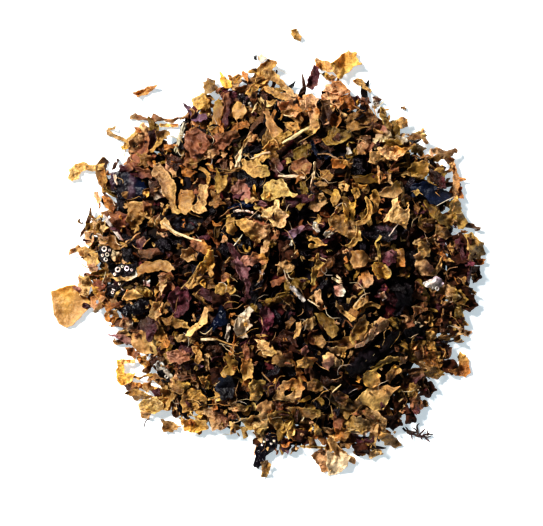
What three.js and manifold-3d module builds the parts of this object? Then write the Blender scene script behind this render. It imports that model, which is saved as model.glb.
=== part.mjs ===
// A heap of cut, dried Irish moss, as it lies when poured on a table: chopped frond, stalk and a few
// pieces with a white crust, about 100 mm across and 24 mm high, with a few crumbs beside it.
// Millimetres, +Z up. Places are given from a point near the middle of the heap, where z = 0 is the table.
import * as THREE from "three";
import { mergeVertices } from "three/addons/utils/BufferGeometryUtils.js";
import Module from "manifold-3d";

const wasm = await Module();
wasm.setup();

// The heap's plan: its radius every 30 degrees, counted from +X, round its own middle.
const heapCentre = [2, -2.8];
const heapRadii = [49, 50, 51, 51, 46.5, 49.5, 50.5, 43, 46.5, 46.5, 53, 48.5];

// The packed inside of the heap, which the flakes lie on and stand out of: rings of corners, each at
// a share of the heap's radius, and how high they stand over the table.
const coreHeight = 18;
const coreRings = [0.2, 0.39, 0.55, 0.68, 0.78, 0.87];
const coreRises = [0.97, 0.87, 0.71, 0.5, 0.27, 0];
const coreSectors = 24;
const coreLump = 0.9;

// How flakes lie on each other.
const thickness = 0.8;
const touchGap = 0.6; // between the middle surfaces of two flakes that have grown into one body
const grip = 0.06; // cubic millimetres that a flake shares with the heap it is one body with
const clearance = 0.32; // between two bodies
const cell = 0.5; // side of a square of the height map
const mapSide = 260; // squares along one side of the map
const sampleStep = 0.42;
const steepest = 0.95; // rise of a flake per millimetre
const settle = 0.8; // share of the slope under a flake that it takes on
const unevenness = 0.34;
const placedTries = 4;
const looseTries = 4;

// Small flakes that fill the heap between the large ones.
const looseCount = 310;
const looseLength = [5, 9];
const looseReach = 0.98; // of the heap's radius
const crowding = 0.27; // of two flakes' mean size, the least distance to a large one
const goldenAngle = Math.PI * (3 - Math.sqrt(5));
const looseStride = 129; // the order in which they fall

const degrees = Math.PI / 180;
let seed = 20611;
function random() {
  seed = (Math.imul(seed, 1664525) + 1013904223) >>> 0;
  return seed / 4294967296;
}
const between = (low, high) => low + (high - low) * random();

// Outlines of a flake as corners: angle in degrees and distance from the middle, 1 at the half length.
const outlines = {
  chip: [[8, 1], [62, 0.85], [118, 0.95], [184, 1], [242, 0.8], [302, 0.95]],
  star: [[0, 1], [40, 0.58], [78, 1], [122, 0.55], [163, 1], [212, 0.66], [258, 1], [308, 0.55]],
  leaf: [[0, 1], [48, 0.88], [122, 0.9], [180, 1], [236, 0.86], [308, 0.92]],
  disc: [[15, 1], [76, 0.96], [135, 1], [196, 0.96], [255, 1], [316, 0.97]],
  wedge: [[0, 1], [66, 0.52], [132, 1], [182, 0.62], [228, 1], [292, 0.55]],
  shard: [[0, 1], [58, 0.78], [140, 0.9], [205, 1], [286, 0.8]],
  shield: [[0, 1.05], [44, 0.85], [98, 0.95], [140, 1.1], [180, 0.8], [222, 1.1], [280, 0.92]],
  fan: [[22, 1.02], [64, 0.55], [104, 0.72], [172, 1.05], [222, 0.6], [262, 0.92], [296, 0.95], [338, 0.66]],
  fork: [[0, 0.42], [24, 1.08], [62, 0.5], [122, 0.42], [180, 1.05], [238, 0.45], [298, 0.5], [336, 1.08]],
  drop: [[0, 1.25], [24, 0.7], [62, 0.95], [104, 1], [148, 0.95], [192, 1], [238, 1], [282, 0.98], [330, 0.7]],
  ruffle: [[4, 1], [48, 0.72], [90, 1], [138, 0.72], [182, 1], [226, 0.74], [270, 1], [316, 0.7]],
};

// A flake of frond: its outline, place, heading in degrees, length and width, and what bends it.
// curl lifts its two ends, roll its two sides, twist its opposite corners and wave its edge.
function flake(outline, at, heading, size, bends = {}) {
  const mean = (size[0] + size[1]) / 2;
  const waved = outline === "ruffle" ? 0.2 : 0.07;
  return {
    kind: "plate",
    corners: outlines[outline],
    at,
    heading,
    size,
    curl: mean * between(-0.14, 0.16),
    roll: mean * between(-0.12, 0.18),
    twist: mean * between(-0.1, 0.1),
    wave: mean * waved,
    waves: outline === "ruffle" ? 4 : 3,
    phase: between(0, 6.28),
    ...bends,
  };
}

// A strip of frond or a stalk: bend is how far it turns in plan, in degrees, and tips its width at the ends.
function strap(at, heading, size, bends = {}) {
  return {
    kind: "strap",
    at,
    heading,
    size,
    bend: between(-25, 25),
    tips: [between(0.5, 0.95), between(0.5, 0.95)],
    curl: size[0] * between(-0.1, 0.12),
    roll: size[1] * between(-0.1, 0.2),
    twist: size[1] * between(-0.3, 0.3),
    wave: size[0] * 0.02,
    waves: 1.5,
    phase: between(0, 6.28),
    ...bends,
  };
}

// A thin straight stalk.
function stalk(at, heading, size, bends = {}) {
  const straight = { bend: 0, tips: [0.9, 0.8], curl: 0.2, roll: 0, twist: 0, wave: 0.15 };
  return strap(at, heading, size, { ...straight, ...bends });
}

// The middle surface of a piece at (u, v), each from -1 to 1: [x, y, rise] in its own frame.
function surfacePoint(piece, u, v) {
  const [halfLength, halfWidth] = [piece.size[0] / 2, piece.size[1] / 2];
  const bent = piece.curl * u * u + piece.roll * v * v + piece.twist * u * v;
  if (piece.kind === "plate") {
    const edge = (u * u + v * v) * Math.sin(piece.waves * Math.atan2(v, u) + piece.phase);
    return [u * halfLength, v * halfWidth, bent + piece.wave * edge];
  }
  const tip = u < 0 ? piece.tips[0] : piece.tips[1];
  const across = v * halfWidth * (1 + (tip - 1) * u * u);
  const rise = bent + piece.wave * Math.sin(piece.waves * Math.PI * u + piece.phase);
  const turn = piece.bend * degrees;
  if (Math.abs(turn) < 0.02) return [u * halfLength, across, rise];
  const radius = piece.size[0] / turn;
  const angle = (turn * u) / 2;
  const middle = (radius * (1 - Math.cos(turn / 2))) / 2;
  const alongX = radius * Math.sin(angle) - across * Math.sin(angle);
  const alongY = radius * (1 - Math.cos(angle)) - middle + across * Math.cos(angle);
  return [alongX, alongY, rise];
}

// A plate's corner as (u, v).
function corner(piece, index) {
  const [angle, distance] = piece.corners[index % piece.corners.length];
  return [distance * Math.cos(angle * degrees), distance * Math.sin(angle * degrees)];
}

// Points spread evenly over a piece's middle surface, in its own frame.
function samplesOf(piece) {
  const points = [];
  if (piece.kind === "strap") {
    const long = Math.ceil(piece.size[0] / sampleStep);
    const wide = Math.ceil(piece.size[1] / sampleStep);
    for (let i = 0; i <= long; i++)
      for (let j = 0; j <= wide; j++) points.push(surfacePoint(piece, (2 * i) / long - 1, (2 * j) / wide - 1));
    return points;
  }
  const rings = Math.ceil(piece.size[0] / 2 / sampleStep);
  points.push(surfacePoint(piece, 0, 0));
  for (let k = 0; k < piece.corners.length; k++) {
    const [from, to] = [corner(piece, k), corner(piece, k + 1)];
    const side = Math.hypot(((to[0] - from[0]) * piece.size[0]) / 2, ((to[1] - from[1]) * piece.size[1]) / 2);
    const parts = Math.ceil(side / sampleStep);
    for (let i = 0; i < parts; i++) {
      const share = i / parts;
      const rim = [from[0] + (to[0] - from[0]) * share, from[1] + (to[1] - from[1]) * share];
      for (let ring = 1; ring <= rings; ring++)
        points.push(surfacePoint(piece, (rim[0] * ring) / rings, (rim[1] * ring) / rings));
    }
  }
  return points;
}

// The heap's radius in the direction of (x, y) from its middle.
function heapRadius(x, y) {
  const share = (Math.atan2(y, x) / (2 * Math.PI) + 1) * heapRadii.length;
  const index = Math.floor(share);
  const along = share - index;
  const [a, b] = [heapRadii[index % heapRadii.length], heapRadii[(index + 1) % heapRadii.length]];
  return a + (b - a) * along * along * (3 - 2 * along);
}

// The corners of the packed inside: for each ring and sector, distance from the middle and height.
const coreCorners = coreRings.map((share, ring) =>
  Array.from({ length: coreSectors }, (_, k) => {
    const angle = (2 * Math.PI * k) / coreSectors;
    const distance = share * heapRadius(Math.cos(angle), Math.sin(angle)) * between(0.96, 1.03);
    const rise = coreRises[ring] > 0 ? coreHeight * coreRises[ring] + coreLump * between(-1, 1) : -1;
    return [distance, rise];
  }),
);

// The height of the packed inside over the table, or 0 beside it.
function coreRise(x, y) {
  const [dx, dy] = [x - heapCentre[0], y - heapCentre[1]];
  const sector = (Math.atan2(dy, dx) / (2 * Math.PI) + 1) * coreSectors;
  const [k, share] = [Math.floor(sector), sector % 1];
  const mix = (row, i) => row[k % coreSectors][i] * (1 - share) + row[(k + 1) % coreSectors][i] * share;
  let [inner, lower] = [0, coreHeight];
  for (const row of coreCorners) {
    const [outer, rise] = [mix(row, 0), mix(row, 1)];
    const part = (Math.hypot(dx, dy) - inner) / (outer - inner);
    if (part < 1) return lower + (rise - lower) * part;
    [inner, lower] = [outer, rise];
  }
  return 0;
}

// What lies at each square of the map: the height of the topmost middle surface. Where only the
// table is there, it is far below.
const nothing = -1000;
const heights = new Float64Array(mapSide * mapSide).fill(nothing);
const column = (value) => Math.min(mapSide - 1, Math.max(0, Math.floor(value / cell + mapSide / 2)));
for (let row = 0; row < mapSide; row++)
  for (let i = 0; i < mapSide; i++) {
    const rise = coreRise((i + 0.5 - mapSide / 2) * cell, (row + 0.5 - mapSide / 2) * cell);
    if (rise > 0) heights[row * mapSide + i] = rise - thickness / 2;
  }

// Finds how a piece lies with one heading: its slope and height, and how high its middle is.
function lie(piece, heading, gap) {
  const [c, s] = [Math.cos(heading * degrees), Math.sin(heading * degrees)];
  const points = samplesOf(piece).map(([a, b, rise]) => {
    const [dx, dy] = [a * c - b * s, a * s + b * c];
    return { dx, dy, rise, at: column(piece.at[1] + dy) * mapSide + column(piece.at[0] + dx) };
  });
  let [count, mx, my, mh] = [points.length, 0, 0, 0];
  for (const p of points) {
    p.under = Math.max(0, heights[p.at]);
    mx += p.dx / count;
    my += p.dy / count;
    mh += p.under / count;
  }
  let [xx, xy, yy, xh, yh] = [0.01, 0, 0.01, 0, 0];
  for (const p of points) {
    const [ex, ey, eh] = [p.dx - mx, p.dy - my, p.under - mh];
    xx += ex * ex;
    xy += ex * ey;
    yy += ey * ey;
    xh += ex * eh;
    yh += ey * eh;
  }
  const whole = xx * yy - xy * xy + 0.01;
  const limit = (value) => Math.min(steepest, Math.max(-steepest, value));
  const slope = [
    limit((settle * (xh * yy - yh * xy)) / whole + between(-unevenness, unevenness)),
    limit((settle * (yh * xx - xh * xy)) / whole + between(-unevenness, unevenness)),
  ];
  let [z, mean] = [nothing, 0];
  for (const p of points) {
    p.rise += slope[0] * p.dx + slope[1] * p.dy;
    mean += p.rise / count;
    z = Math.max(z, heights[p.at] + gap - p.rise, thickness / 2 - p.rise);
  }
  return { heading, slope, z, points, middle: z + mean };
}

// Lays a piece on what is there already, in the lowest of a few ways.
function lay(piece, tries, turning, gap) {
  let best = null;
  for (let i = 0; i < tries; i++) {
    const found = lie(piece, piece.heading + turning * between(-1, 1), gap);
    if (!best || found.middle < best.middle) best = found;
  }
  Object.assign(piece, best);
}

// Adds a piece that has its place to the map.
function mark(piece) {
  for (const p of piece.points) heights[p.at] = Math.max(heights[p.at], piece.z + p.rise);
}

// A closed mesh as a solid.
function solidOf(positions, triangles) {
  const geometry = new THREE.BufferGeometry();
  geometry.setAttribute("position", new THREE.Float32BufferAttribute(positions.flat(), 3));
  geometry.setIndex(triangles.flat());
  const merged = mergeVertices(geometry, 1e-4);
  const vertProperties = merged.attributes.position.array;
  const triVerts = new Uint32Array(merged.index.array);
  return new wasm.Manifold(new wasm.Mesh({ numProp: 3, vertProperties, triVerts }));
}

// The piece as a solid: its middle surface swept to both sides, with the same triangles on both faces.
// grow widens it on every side.
function pieceSolid(piece, grow = 0) {
  const grown = { ...piece, size: [piece.size[0] + 2 * grow, piece.size[1] + 2 * grow] };
  const surface = [];
  const faces = [];
  const rim = [];
  if (piece.kind === "plate") {
    surface.push(surfacePoint(grown, 0, 0));
    piece.corners.forEach((_, k) => {
      const [u, v] = corner(piece, k);
      surface.push(surfacePoint(grown, u, v));
      rim.push(k + 1);
      faces.push([0, k + 1, ((k + 1) % piece.corners.length) + 1]);
    });
  } else {
    const parts = Math.max(2, Math.ceil(Math.abs(piece.bend) / 45), Math.ceil(piece.size[0] / 4));
    for (let i = 0; i <= parts; i++)
      for (const v of [-1, 1]) surface.push(surfacePoint(grown, (2 * i) / parts - 1, v));
    for (let i = 0; i < parts; i++) faces.push([2 * i, 2 * i + 2, 2 * i + 3], [2 * i, 2 * i + 3, 2 * i + 1]);
    for (let i = 0; i <= parts; i++) rim.push(2 * i);
    for (let i = parts; i >= 0; i--) rim.push(2 * i + 1);
  }
  const [c, s] = [Math.cos(piece.heading * degrees), Math.sin(piece.heading * degrees)];
  const [a, b] = piece.slope;
  const up = new THREE.Vector3(-a, -b, 1).setLength(thickness / 2 + grow);
  const placed = surface.map(([x, y, rise]) => {
    const [dx, dy] = [x * c - y * s, x * s + y * c];
    return [piece.at[0] + dx, piece.at[1] + dy, piece.z + rise + a * dx + b * dy];
  });
  const count = placed.length;
  const top = placed.map((p) => [p[0] + up.x, p[1] + up.y, p[2] + up.z]);
  const bottom = placed.map((p) => [p[0] - up.x, p[1] - up.y, p[2] - up.z]);
  const triangles = [...faces, ...faces.map(([i, j, k]) => [count + i, count + k, count + j])];
  rim.forEach((from, k) => {
    const to = rim[(k + 1) % rim.length];
    triangles.push([from, count + from, count + to], [from, count + to, to]);
  });
  return solidOf([...top, ...bottom], triangles);
}

// The packed inside as a solid, which goes a little way under the table.
function coreSolid() {
  const [x, y] = heapCentre;
  const points = [[x, y, coreHeight], [x, y, -1]];
  const triangles = [];
  const at = (ring, sector) => 2 + ring * coreSectors + (sector % coreSectors);
  coreCorners.forEach((row) =>
    row.forEach(([distance, rise], k) => {
      const angle = (2 * Math.PI * k) / coreSectors;
      points.push([x + distance * Math.cos(angle), y + distance * Math.sin(angle), rise]);
    }),
  );
  const last = coreRings.length - 1;
  for (let k = 0; k < coreSectors; k++) {
    triangles.push([0, at(0, k), at(0, k + 1)]);
    triangles.push([1, at(last, k + 1), at(last, k)]);
    for (let ring = 0; ring < last; ring++)
      triangles.push(
        [at(ring, k), at(ring + 1, k), at(ring + 1, k + 1)],
        [at(ring, k), at(ring + 1, k + 1), at(ring, k + 1)],
      );
  }
  return solidOf(points, triangles);
}

// The large golden, tan and orange flakes, which are one body with the heap.
const golden = [
  flake("ruffle", [-28.8, 26.3], 60, [11, 9]),
  flake("leaf", [-25.6, 17.4], -70, [12, 4]),
  flake("disc", [-20.5, 12.6], 20, [6.5, 6]),
  flake("fork", [-15.6, 13], 100, [7.5, 5]),
  flake("ruffle", [-32.4, 8.2], -20, [8, 6.5]),
  flake("leaf", [-37.9, 3.1], -60, [4.5, 3]),
  strap([-26.9, -3.9], -5, [10.5, 2.4], { bend: -80, curl: -1.5 }),
  flake("leaf", [-32.1, -9.7], -10, [5, 2.2]),
  strap([-39.6, 15], -80, [9, 3.4]),
  flake("ruffle", [-41.1, 0.5], 10, [7, 6]),
  flake("chip", [-39.6, 5.3], 60, [5, 4.6]),
  flake("ruffle", [-38.6, -13.5], 40, [7, 6]),
  flake("disc", [-31.1, -21.3], -10, [7.6, 6.4], { roll: 1.4 }),
  strap([-25.6, -20.8], 70, [13, 1.7], { bend: 320, curl: 0.4 }),
  strap([-17.4, -19.7], 52, [14, 2.3], { bend: -70, curl: 0.8 }),
  strap([-18.5, -26.1], -70, [5, 2.4], { bend: 20 }),
  strap([-35, -29.9], -78, [9.5, 2.8], { bend: 110, curl: 0.6 }),
  flake("chip", [-29.9, -35.9], -30, [10.5, 7]),
  flake("ruffle", [-17.9, -35.3], 10, [9, 7.5]),
  flake("disc", [-18.2, -41.7], 0, [6.5, 4.6]),
  flake("chip", [-24, -41.2], 70, [5.5, 5]),
  flake("leaf", [-12.4, -40.2], -5, [8, 3.6]),
  strap([-9.7, -26.6], 62, [7.5, 3.2], { bend: 90, curl: 0.8 }),
  flake("leaf", [-5.3, -24.9], 85, [11, 3.6]),
  flake("leaf", [-0.2, -23.7], -38, [9, 3.8]),
  flake("ruffle", [-4.6, -32.4], 40, [7.5, 5.5]),
  strap([5.6, -32.1], 20, [19, 2.7], { bend: 325, curl: 1, tips: [0.8, 1] }),
  flake("ruffle", [1.4, -40.1], -90, [12, 10]),
  flake("chip", [-5.8, -40.6], 0, [8, 5]),
  flake("ruffle", [9.5, -26.1], 20, [6.5, 4]),
  flake("chip", [14.7, -25.1], 70, [5.5, 4.6]),
  strap([17.2, -22], -10, [6.5, 1.9]),
  flake("leaf", [13.7, -17.4], -50, [8.2, 5], { roll: -1.2 }),
  strap([18.2, -12], -62, [8.5, 2.5], { bend: 60 }),
  flake("leaf", [21.3, -18.8], 70, [8.8, 4.8], { roll: 1.3 }),
  strap([25.7, -18.4], 42, [9.8, 3], { bend: 8, roll: -0.8 }),
  strap([22.2, -11.1], 25, [6, 2.8], { bend: -70 }),
  flake("disc", [21.3, -1], 0, [5, 4.8], { roll: -1 }),
  strap([24.7, 10.6], 98, [8, 1.9], { bend: -150 }),
  flake("fork", [18.4, 12.2], 88, [13, 6.4], { curl: 0.6, roll: 1.8 }),
  strap([20.5, 2.9], 32, [5.2, 2.3]),
  flake("ruffle", [27.2, -3.7], -20, [6.4, 5]),
  flake("ruffle", [22.4, -6.6], 70, [5.8, 4.8]),
  strap([39, -2.3], -62, [12.5, 3], { bend: 120, curl: 0.8 }),
  flake("ruffle", [48.9, 1.9], 100, [8.4, 6.2]),
  flake("chip", [45, 11], -60, [11, 6.6]),
  strap([42.5, 21.3], -48, [13, 2.3], { bend: -95, curl: -1 }),
  flake("shield", [35.9, 20.9], -90, [6, 6.2], { roll: -0.9 }),
  flake("ruffle", [17, 45.2], 20, [9.6, 7]),
  strap([15.5, 39.6], 82, [8.5, 3.4]),
  flake("ruffle", [-1.4, 43.1], 70, [10, 6.4]),
  strap([4.6, 38.8], -28, [9, 2.6]),
  strap([-6.6, 42.1], 20, [8, 1.9]),
  strap([10.6, 33.6], -76, [9.8, 3.5], { bend: 8 }),
  strap([-12.4, 33.6], 82, [8.8, 3], { bend: 5 }),
  strap([0.5, 31.1], -65, [8.4, 2.7], { bend: 5 }),
  flake("disc", [-7.5, 34.8], 30, [5.2, 4.8]),
  flake("ruffle", [7.1, 35.2], 10, [7.4, 5.6]),
  flake("ruffle", [-13, 40.2], 15, [10, 5.4]),
  flake("chip", [-16.8, 36.9], 0, [6, 4.4]),
  flake("leaf", [23.2, 33], -10, [11.5, 5]),
  flake("ruffle", [24.3, 36.7], -5, [8, 4.6]),
  flake("chip", [28.6, 32.3], -30, [6, 5]),
  flake("chip", [15.9, 28.6], 30, [6.2, 5.2]),
  flake("chip", [23.2, 19.3], 0, [10.4, 5.2]),
  flake("chip", [14.7, 22.2], 0, [6, 4.4]),
  flake("wedge", [12.4, 17.2], 90, [6, 5.2]),
  flake("leaf", [30.5, 15.8], 52, [7.4, 5]),
  flake("wedge", [22.4, 25.1], 90, [4.8, 3.4]),
  flake("star", [30.9, 9.9], 80, [9.4, 7.4], { curl: 0.7, roll: 0.4 }),
  flake("leaf", [3.3, 26.5], 30, [10.5, 3.4], { roll: -0.6 }),
  flake("chip", [-2.4, 21.3], -30, [8.6, 5.8]),
  flake("chip", [1.4, 15.5], 0, [9, 6], { curl: 0.4, roll: -0.7 }),
  flake("star", [1.7, 8.5], 25, [8.4, 6.6], { curl: 0.5 }),
  flake("star", [-4.1, 6.2], -40, [9.4, 7.4], { curl: -0.5 }),
  strap([-11.6, 17.6], 88, [7.8, 2.7], { bend: 0 }),
  strap([-15, -2.7], 55, [12, 3], { bend: 25, curl: 1 }),
  strap([-10.6, -8.3], 0, [7.4, 3.2], { bend: 90 }),
  flake("leaf", [12.6, -4.4], 55, [9.6, 3.4]),
  flake("chip", [11.4, 3.4], -20, [6, 4]),
  flake("chip", [43.7, -11.2], -40, [7.4, 6]),
  flake("ruffle", [45.8, -17], 20, [7.4, 6]),
  flake("ruffle", [36.5, -13.1], 40, [6.4, 5.2]),
  flake("ruffle", [36.3, -24.5], 0, [6.4, 5.2]),
  flake("leaf", [39.2, -27.4], 8, [9.4, 4]),
  flake("chip", [29.4, -28.6], 40, [5.4, 3.8]),
  strap([27.6, -25.9], 22, [9.4, 2.1], { bend: -55 }),
  flake("fan", [26.3, -34.8], -8, [12.4, 7.6], { curl: 0.5, roll: -0.5 }),
  strap([24.5, -29.9], 90, [8.4, 1.5], { bend: 250 }),
  flake("ruffle", [23.4, -41.2], -10, [9.4, 6.4]),
  flake("leaf", [29.6, -43.9], -35, [8, 3.6]),
  flake("wedge", [16.8, -43.5], 80, [6.4, 5.4]),
];

// Pieces of other colours, each its own body on the heap or beside it, in the order in which they lie.
const navy = { color: 0x10131f, roughness: 0.35 };
const maroon = { color: 0x471a24, roughness: 0.5 };
const mauve = { color: 0x7b5058, roughness: 0.55 };
const russet = { color: 0x8a4a2c, roughness: 0.6 };
const cream = { color: 0xd9c79c, roughness: 0.6 };
const crusted = { color: 0xb7b3a8, roughness: 0.7 };
const amber = { color: 0xc58a35, roughness: 0.5 };
const pieces = [
  ["navy_chip_right", navy, flake("shield", [38.6, 14.9], -14, [13, 7], { curl: 0.4, roll: -0.5 })],
  ["glossy_black_leaf", navy, flake("chip", [-33.8, 16.2], -20, [10.5, 7.6], { roll: -1.2 })],
  ["black_strap_centre", navy, strap([-5, 12], 2, [11.8, 2.7], { bend: 16, roll: -0.5 })],
  ["blue_black_wedge", navy, flake("wedge", [-12.9, -16.2], 62, [9.4, 6.6], { roll: -0.8 })],
  ["black_finger", navy, strap([-0.6, -47.2], 57, [12, 3.2], { bend: 15, roll: -0.6 })],
  ["black_chip_right", navy, flake("chip", [26.9, 4.8], 0, [7, 4.2])],
  ["black_leaf_left", navy, flake("leaf", [-31.3, -14.1], -8, [8.4, 4.4])],
  ["black_chip_left", navy, flake("chip", [-20.3, 6.6], 0, [8, 4.4])],
  ["black_chip_low", navy, flake("chip", [-10.6, -32.5], 80, [7, 5.6])],
  ["maroon_wedge", maroon, flake("wedge", [-29.4, -17.4], -72, [6.6, 6])],
  ["mauve_fork", mauve, flake("fork", [-5.2, -2.5], -62, [14.5, 8], { curl: 0.6 })],
  ["magenta_ruffle", maroon, flake("ruffle", [-0.6, -15.8], -80, [8.8, 5])],
  ["crimson_ruffle", maroon, flake("ruffle", [-21.1, -11.4], 80, [8, 6.2])],
  ["rust_ruffle", russet, flake("ruffle", [-16, 3.3], -50, [6.4, 4.8])],
  ["mauve_leaf", mauve, flake("leaf", [7, 4.4], 30, [5.8, 3.2])],
  ["rose_disc", mauve, flake("disc", [-6.4, 16.6], 10, [7, 6], { roll: -0.8 })],
  ["lilac_wedge", mauve, flake("wedge", [-18, 32.1], -45, [7.4, 5])],
  ["red_strap", maroon, strap([-9.7, 34.6], 84, [9.6, 2], { bend: -8 })],
  ["magenta_bud", maroon, flake("disc", [28.4, -0.2], 0, [4.2, 3.8], { roll: -0.9, curl: -0.9 })],
  ["maroon_curl_right", maroon, strap([47.3, -3.1], -62, [10.4, 2.6], { bend: 45 })],
  ["maroon_strap_right", maroon, strap([41, 19.5], -55, [7.6, 2.6])],
  ["red_strap_top", maroon, strap([11.2, 41.7], 76, [7.4, 1.9])],
  ["brown_strap_top", maroon, strap([13.9, 33.4], -86, [10, 2.8], { bend: 5 })],
  ["russet_chip", russet, flake("chip", [-9.7, 27.4], 40, [9, 7])],
  ["mottled_ruffle", russet, flake("ruffle", [-17, 25.5], 20, [9, 7.4])],
  ["pink_horn", mauve, flake("leaf", [-35.9, -20.3], 178, [7.6, 3.4])],
  ["red_leaf_low", russet, flake("leaf", [34.8, -35.5], 82, [7.4, 3.6])],
  ["rose_ruffle_low", russet, flake("ruffle", [-21.3, -24.7], 10, [7.6, 5.2])],
  ["rose_roll", russet, strap([31.3, 24.3], 24, [9.6, 3.4], { roll: -1 })],
  ["long_straw", cream, stalk([2.9, 26.7], 29, [16.4, 0.9])],
  ["short_straw", cream, stalk([4.6, 18.7], -3, [8.6, 1])],
  ["cream_strap", cream, strap([-6.3, 24.7], 70, [9.6, 1.5], { bend: 8 })],
  ["grey_stalk", cream, stalk([-21.6, 28.2], 78, [8.6, 1])],
  ["pink_stalk", mauve, stalk([-37.5, 7], -52, [8.6, 1])],
  ["cream_twig", cream, strap([-20.8, 5], -16, [12, 0.9], { bend: 25 })],
  ["white_stalk", cream, stalk([6.2, -8.5], -52, [8.8, 1.1])],
  ["thin_stalk", cream, stalk([-11.8, -21.6], -14, [9.2, 0.9])],
  ["pale_hook", cream, strap([-37.1, 28.6], -20, [9.4, 1], { bend: -75 })],
  ["brown_stalk", russet, strap([-29.4, 32.8], 2, [12.6, 1.3], { bend: 8 })],
  ["pale_chip", cream, flake("chip", [27.6, 27.8], 60, [6, 4.8])],
  ["cream_coral", cream, flake("ruffle", [-6, -16.4], 76, [7.8, 4.6])],
  ["crusted_chip_a", crusted, flake("chip", [-38.4, -1.4], 30, [6, 5])],
  ["crusted_chip_b", crusted, flake("chip", [-35.2, -4.4], 0, [6.6, 4.4])],
  ["crusted_chip_c", crusted, flake("chip", [-36.3, -8.7], 10, [7.6, 5])],
  ["crusted_bar", crusted, strap([-25.3, -29], -55, [6.8, 3], { bend: 0 })],
  ["net_crust", crusted, flake("chip", [40.6, -6.8], 5, [6.6, 3.8])],
  ["crusted_edge_flake", crusted, flake("chip", [15.2, -50.2], -15, [9.6, 6.4])],
  ["netted_strip", crusted, strap([-10, -18.9], 85, [6.4, 1.8], { bend: 0 })],
  ["left_flake", amber, flake("drop", [-48.4, -12.3], -12, [9.4, 11], { roll: 0.9, curl: 0.5 })],
  ["left_arch", amber, strap([-44.2, 20.4], 2, [12, 2.3], { bend: -130, curl: 0 })],
  ["crumb_top_left", amber, flake("leaf", [-30.4, 39.8], 27, [6, 2.4])],
  ["crumb_top", amber, flake("leaf", [6.6, 53.6], -50, [2.8, 2])],
  ["crumb_top_right", amber, flake("leaf", [22.6, 42.1], -30, [4.8, 2.4])],
  ["knob_right", amber, flake("disc", [32.5, 31.9], 0, [3.4, 3.2])],
  ["brown_leaf_right", russet, flake("leaf", [36.1, 28.4], 20, [5.6, 2.5])],
  ["stray_right", amber, flake("chip", [47.1, -27.2], 74, [6.6, 4.8])],
  ["stray_low", amber, flake("chip", [-1.6, -52.2], -60, [4.2, 3.4])],
];

// The sprig: a stalk with side branches, one body.
const sprigPlace = [36.1, -43.9];
const sprigStalk = stalk(sprigPlace, 12, [8.4, 1], { curl: 0, wave: 0 });
const sprigBranches = [
  stalk([35.2, -42.3], 128, [3.8, 0.9], { curl: 0, wave: 0 }),
  stalk([37.3, -42.5], 62, [3.2, 0.9], { curl: 0, wave: 0 }),
  stalk([38.6, -44], -14, [4, 0.9], { curl: 0, wave: 0 }),
];

// Loose flakes at golden-angle places all over the heap, but not where a large one lies.
const large = [...golden, ...pieces.map((row) => row[2])];
const crowded = (at, size) =>
  large.some((other) => {
    const apart = Math.hypot(other.at[0] - at[0], other.at[1] - at[1]);
    return apart < (crowding * (size[0] + size[1] + other.size[0] + other.size[1])) / 2;
  });
function looseFlake(index) {
  const share = Math.sqrt((index + 0.5) / looseCount);
  const angle = index * goldenAngle;
  const reach = share * looseReach * heapRadius(Math.cos(angle), Math.sin(angle));
  const length = between(...looseLength);
  const size = [length, length * between(0.5, 0.85)];
  const at = [
    heapCentre[0] + reach * Math.cos(angle) + between(-1, 1),
    heapCentre[1] + reach * Math.sin(angle) + between(-1, 1),
  ];
  const names = ["shard", "leaf", "wedge", "chip", "strap", "shard", "leaf", "strap"];
  const name = names[Math.floor(random() * names.length)];
  const heading = between(0, 360);
  const strip = [length * 1.15, length * between(0.22, 0.36)];
  const piece = name === "strap" ? strap(at, heading, strip) : flake(name, at, heading, size);
  return crowded(at, size) ? null : piece;
}
const loose = [];
for (let i = 0; i < looseCount; i++) {
  const piece = looseFlake((i * looseStride) % looseCount);
  if (piece) loose.push(piece);
}

// Lays a flake and fuses it with the heap. Where it has no grip it is sunk a little, or drawn inwards.
const sinkStep = 0.1;
const drawStep = 0.8;
let heapSolid = coreSolid();
function grow(piece, tries, turning) {
  for (let draw = 0; draw < 8; draw++) {
    lay(piece, tries, turning, touchGap);
    for (let sink = 0; sink < 9; sink++) {
      const solid = pieceSolid(piece);
      if (heapSolid.intersect(solid).volume() > grip) {
        heapSolid = heapSolid.add(solid);
        mark(piece);
        return;
      }
      piece.z -= sinkStep;
    }
    const inward = [heapCentre[0] - piece.at[0], heapCentre[1] - piece.at[1]];
    const far = Math.hypot(...inward);
    piece.at = [piece.at[0] + (drawStep * inward[0]) / far, piece.at[1] + (drawStep * inward[1]) / far];
  }
}
loose.forEach((piece) => grow(piece, looseTries, 180));
golden.forEach((piece) => grow(piece, placedTries, 4));
const [heap] = heapSolid.trimByPlane([0, 0, 1], 0).decompose().sort((a, b) => b.volume() - a.volume());

const group = new THREE.Group();
function addMesh(name, solid, material) {
  const mesh = solid.getMesh();
  const geometry = new THREE.BufferGeometry();
  geometry.setAttribute("position", new THREE.BufferAttribute(mesh.vertProperties, 3));
  geometry.setIndex(new THREE.BufferAttribute(mesh.triVerts, 1));
  const made = new THREE.Mesh(geometry, new THREE.MeshStandardMaterial({ metalness: 0, ...material }));
  made.name = name;
  group.add(made);
}
addMesh("golden_heap", heap, { color: 0xa9722f, roughness: 0.6 });

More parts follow.
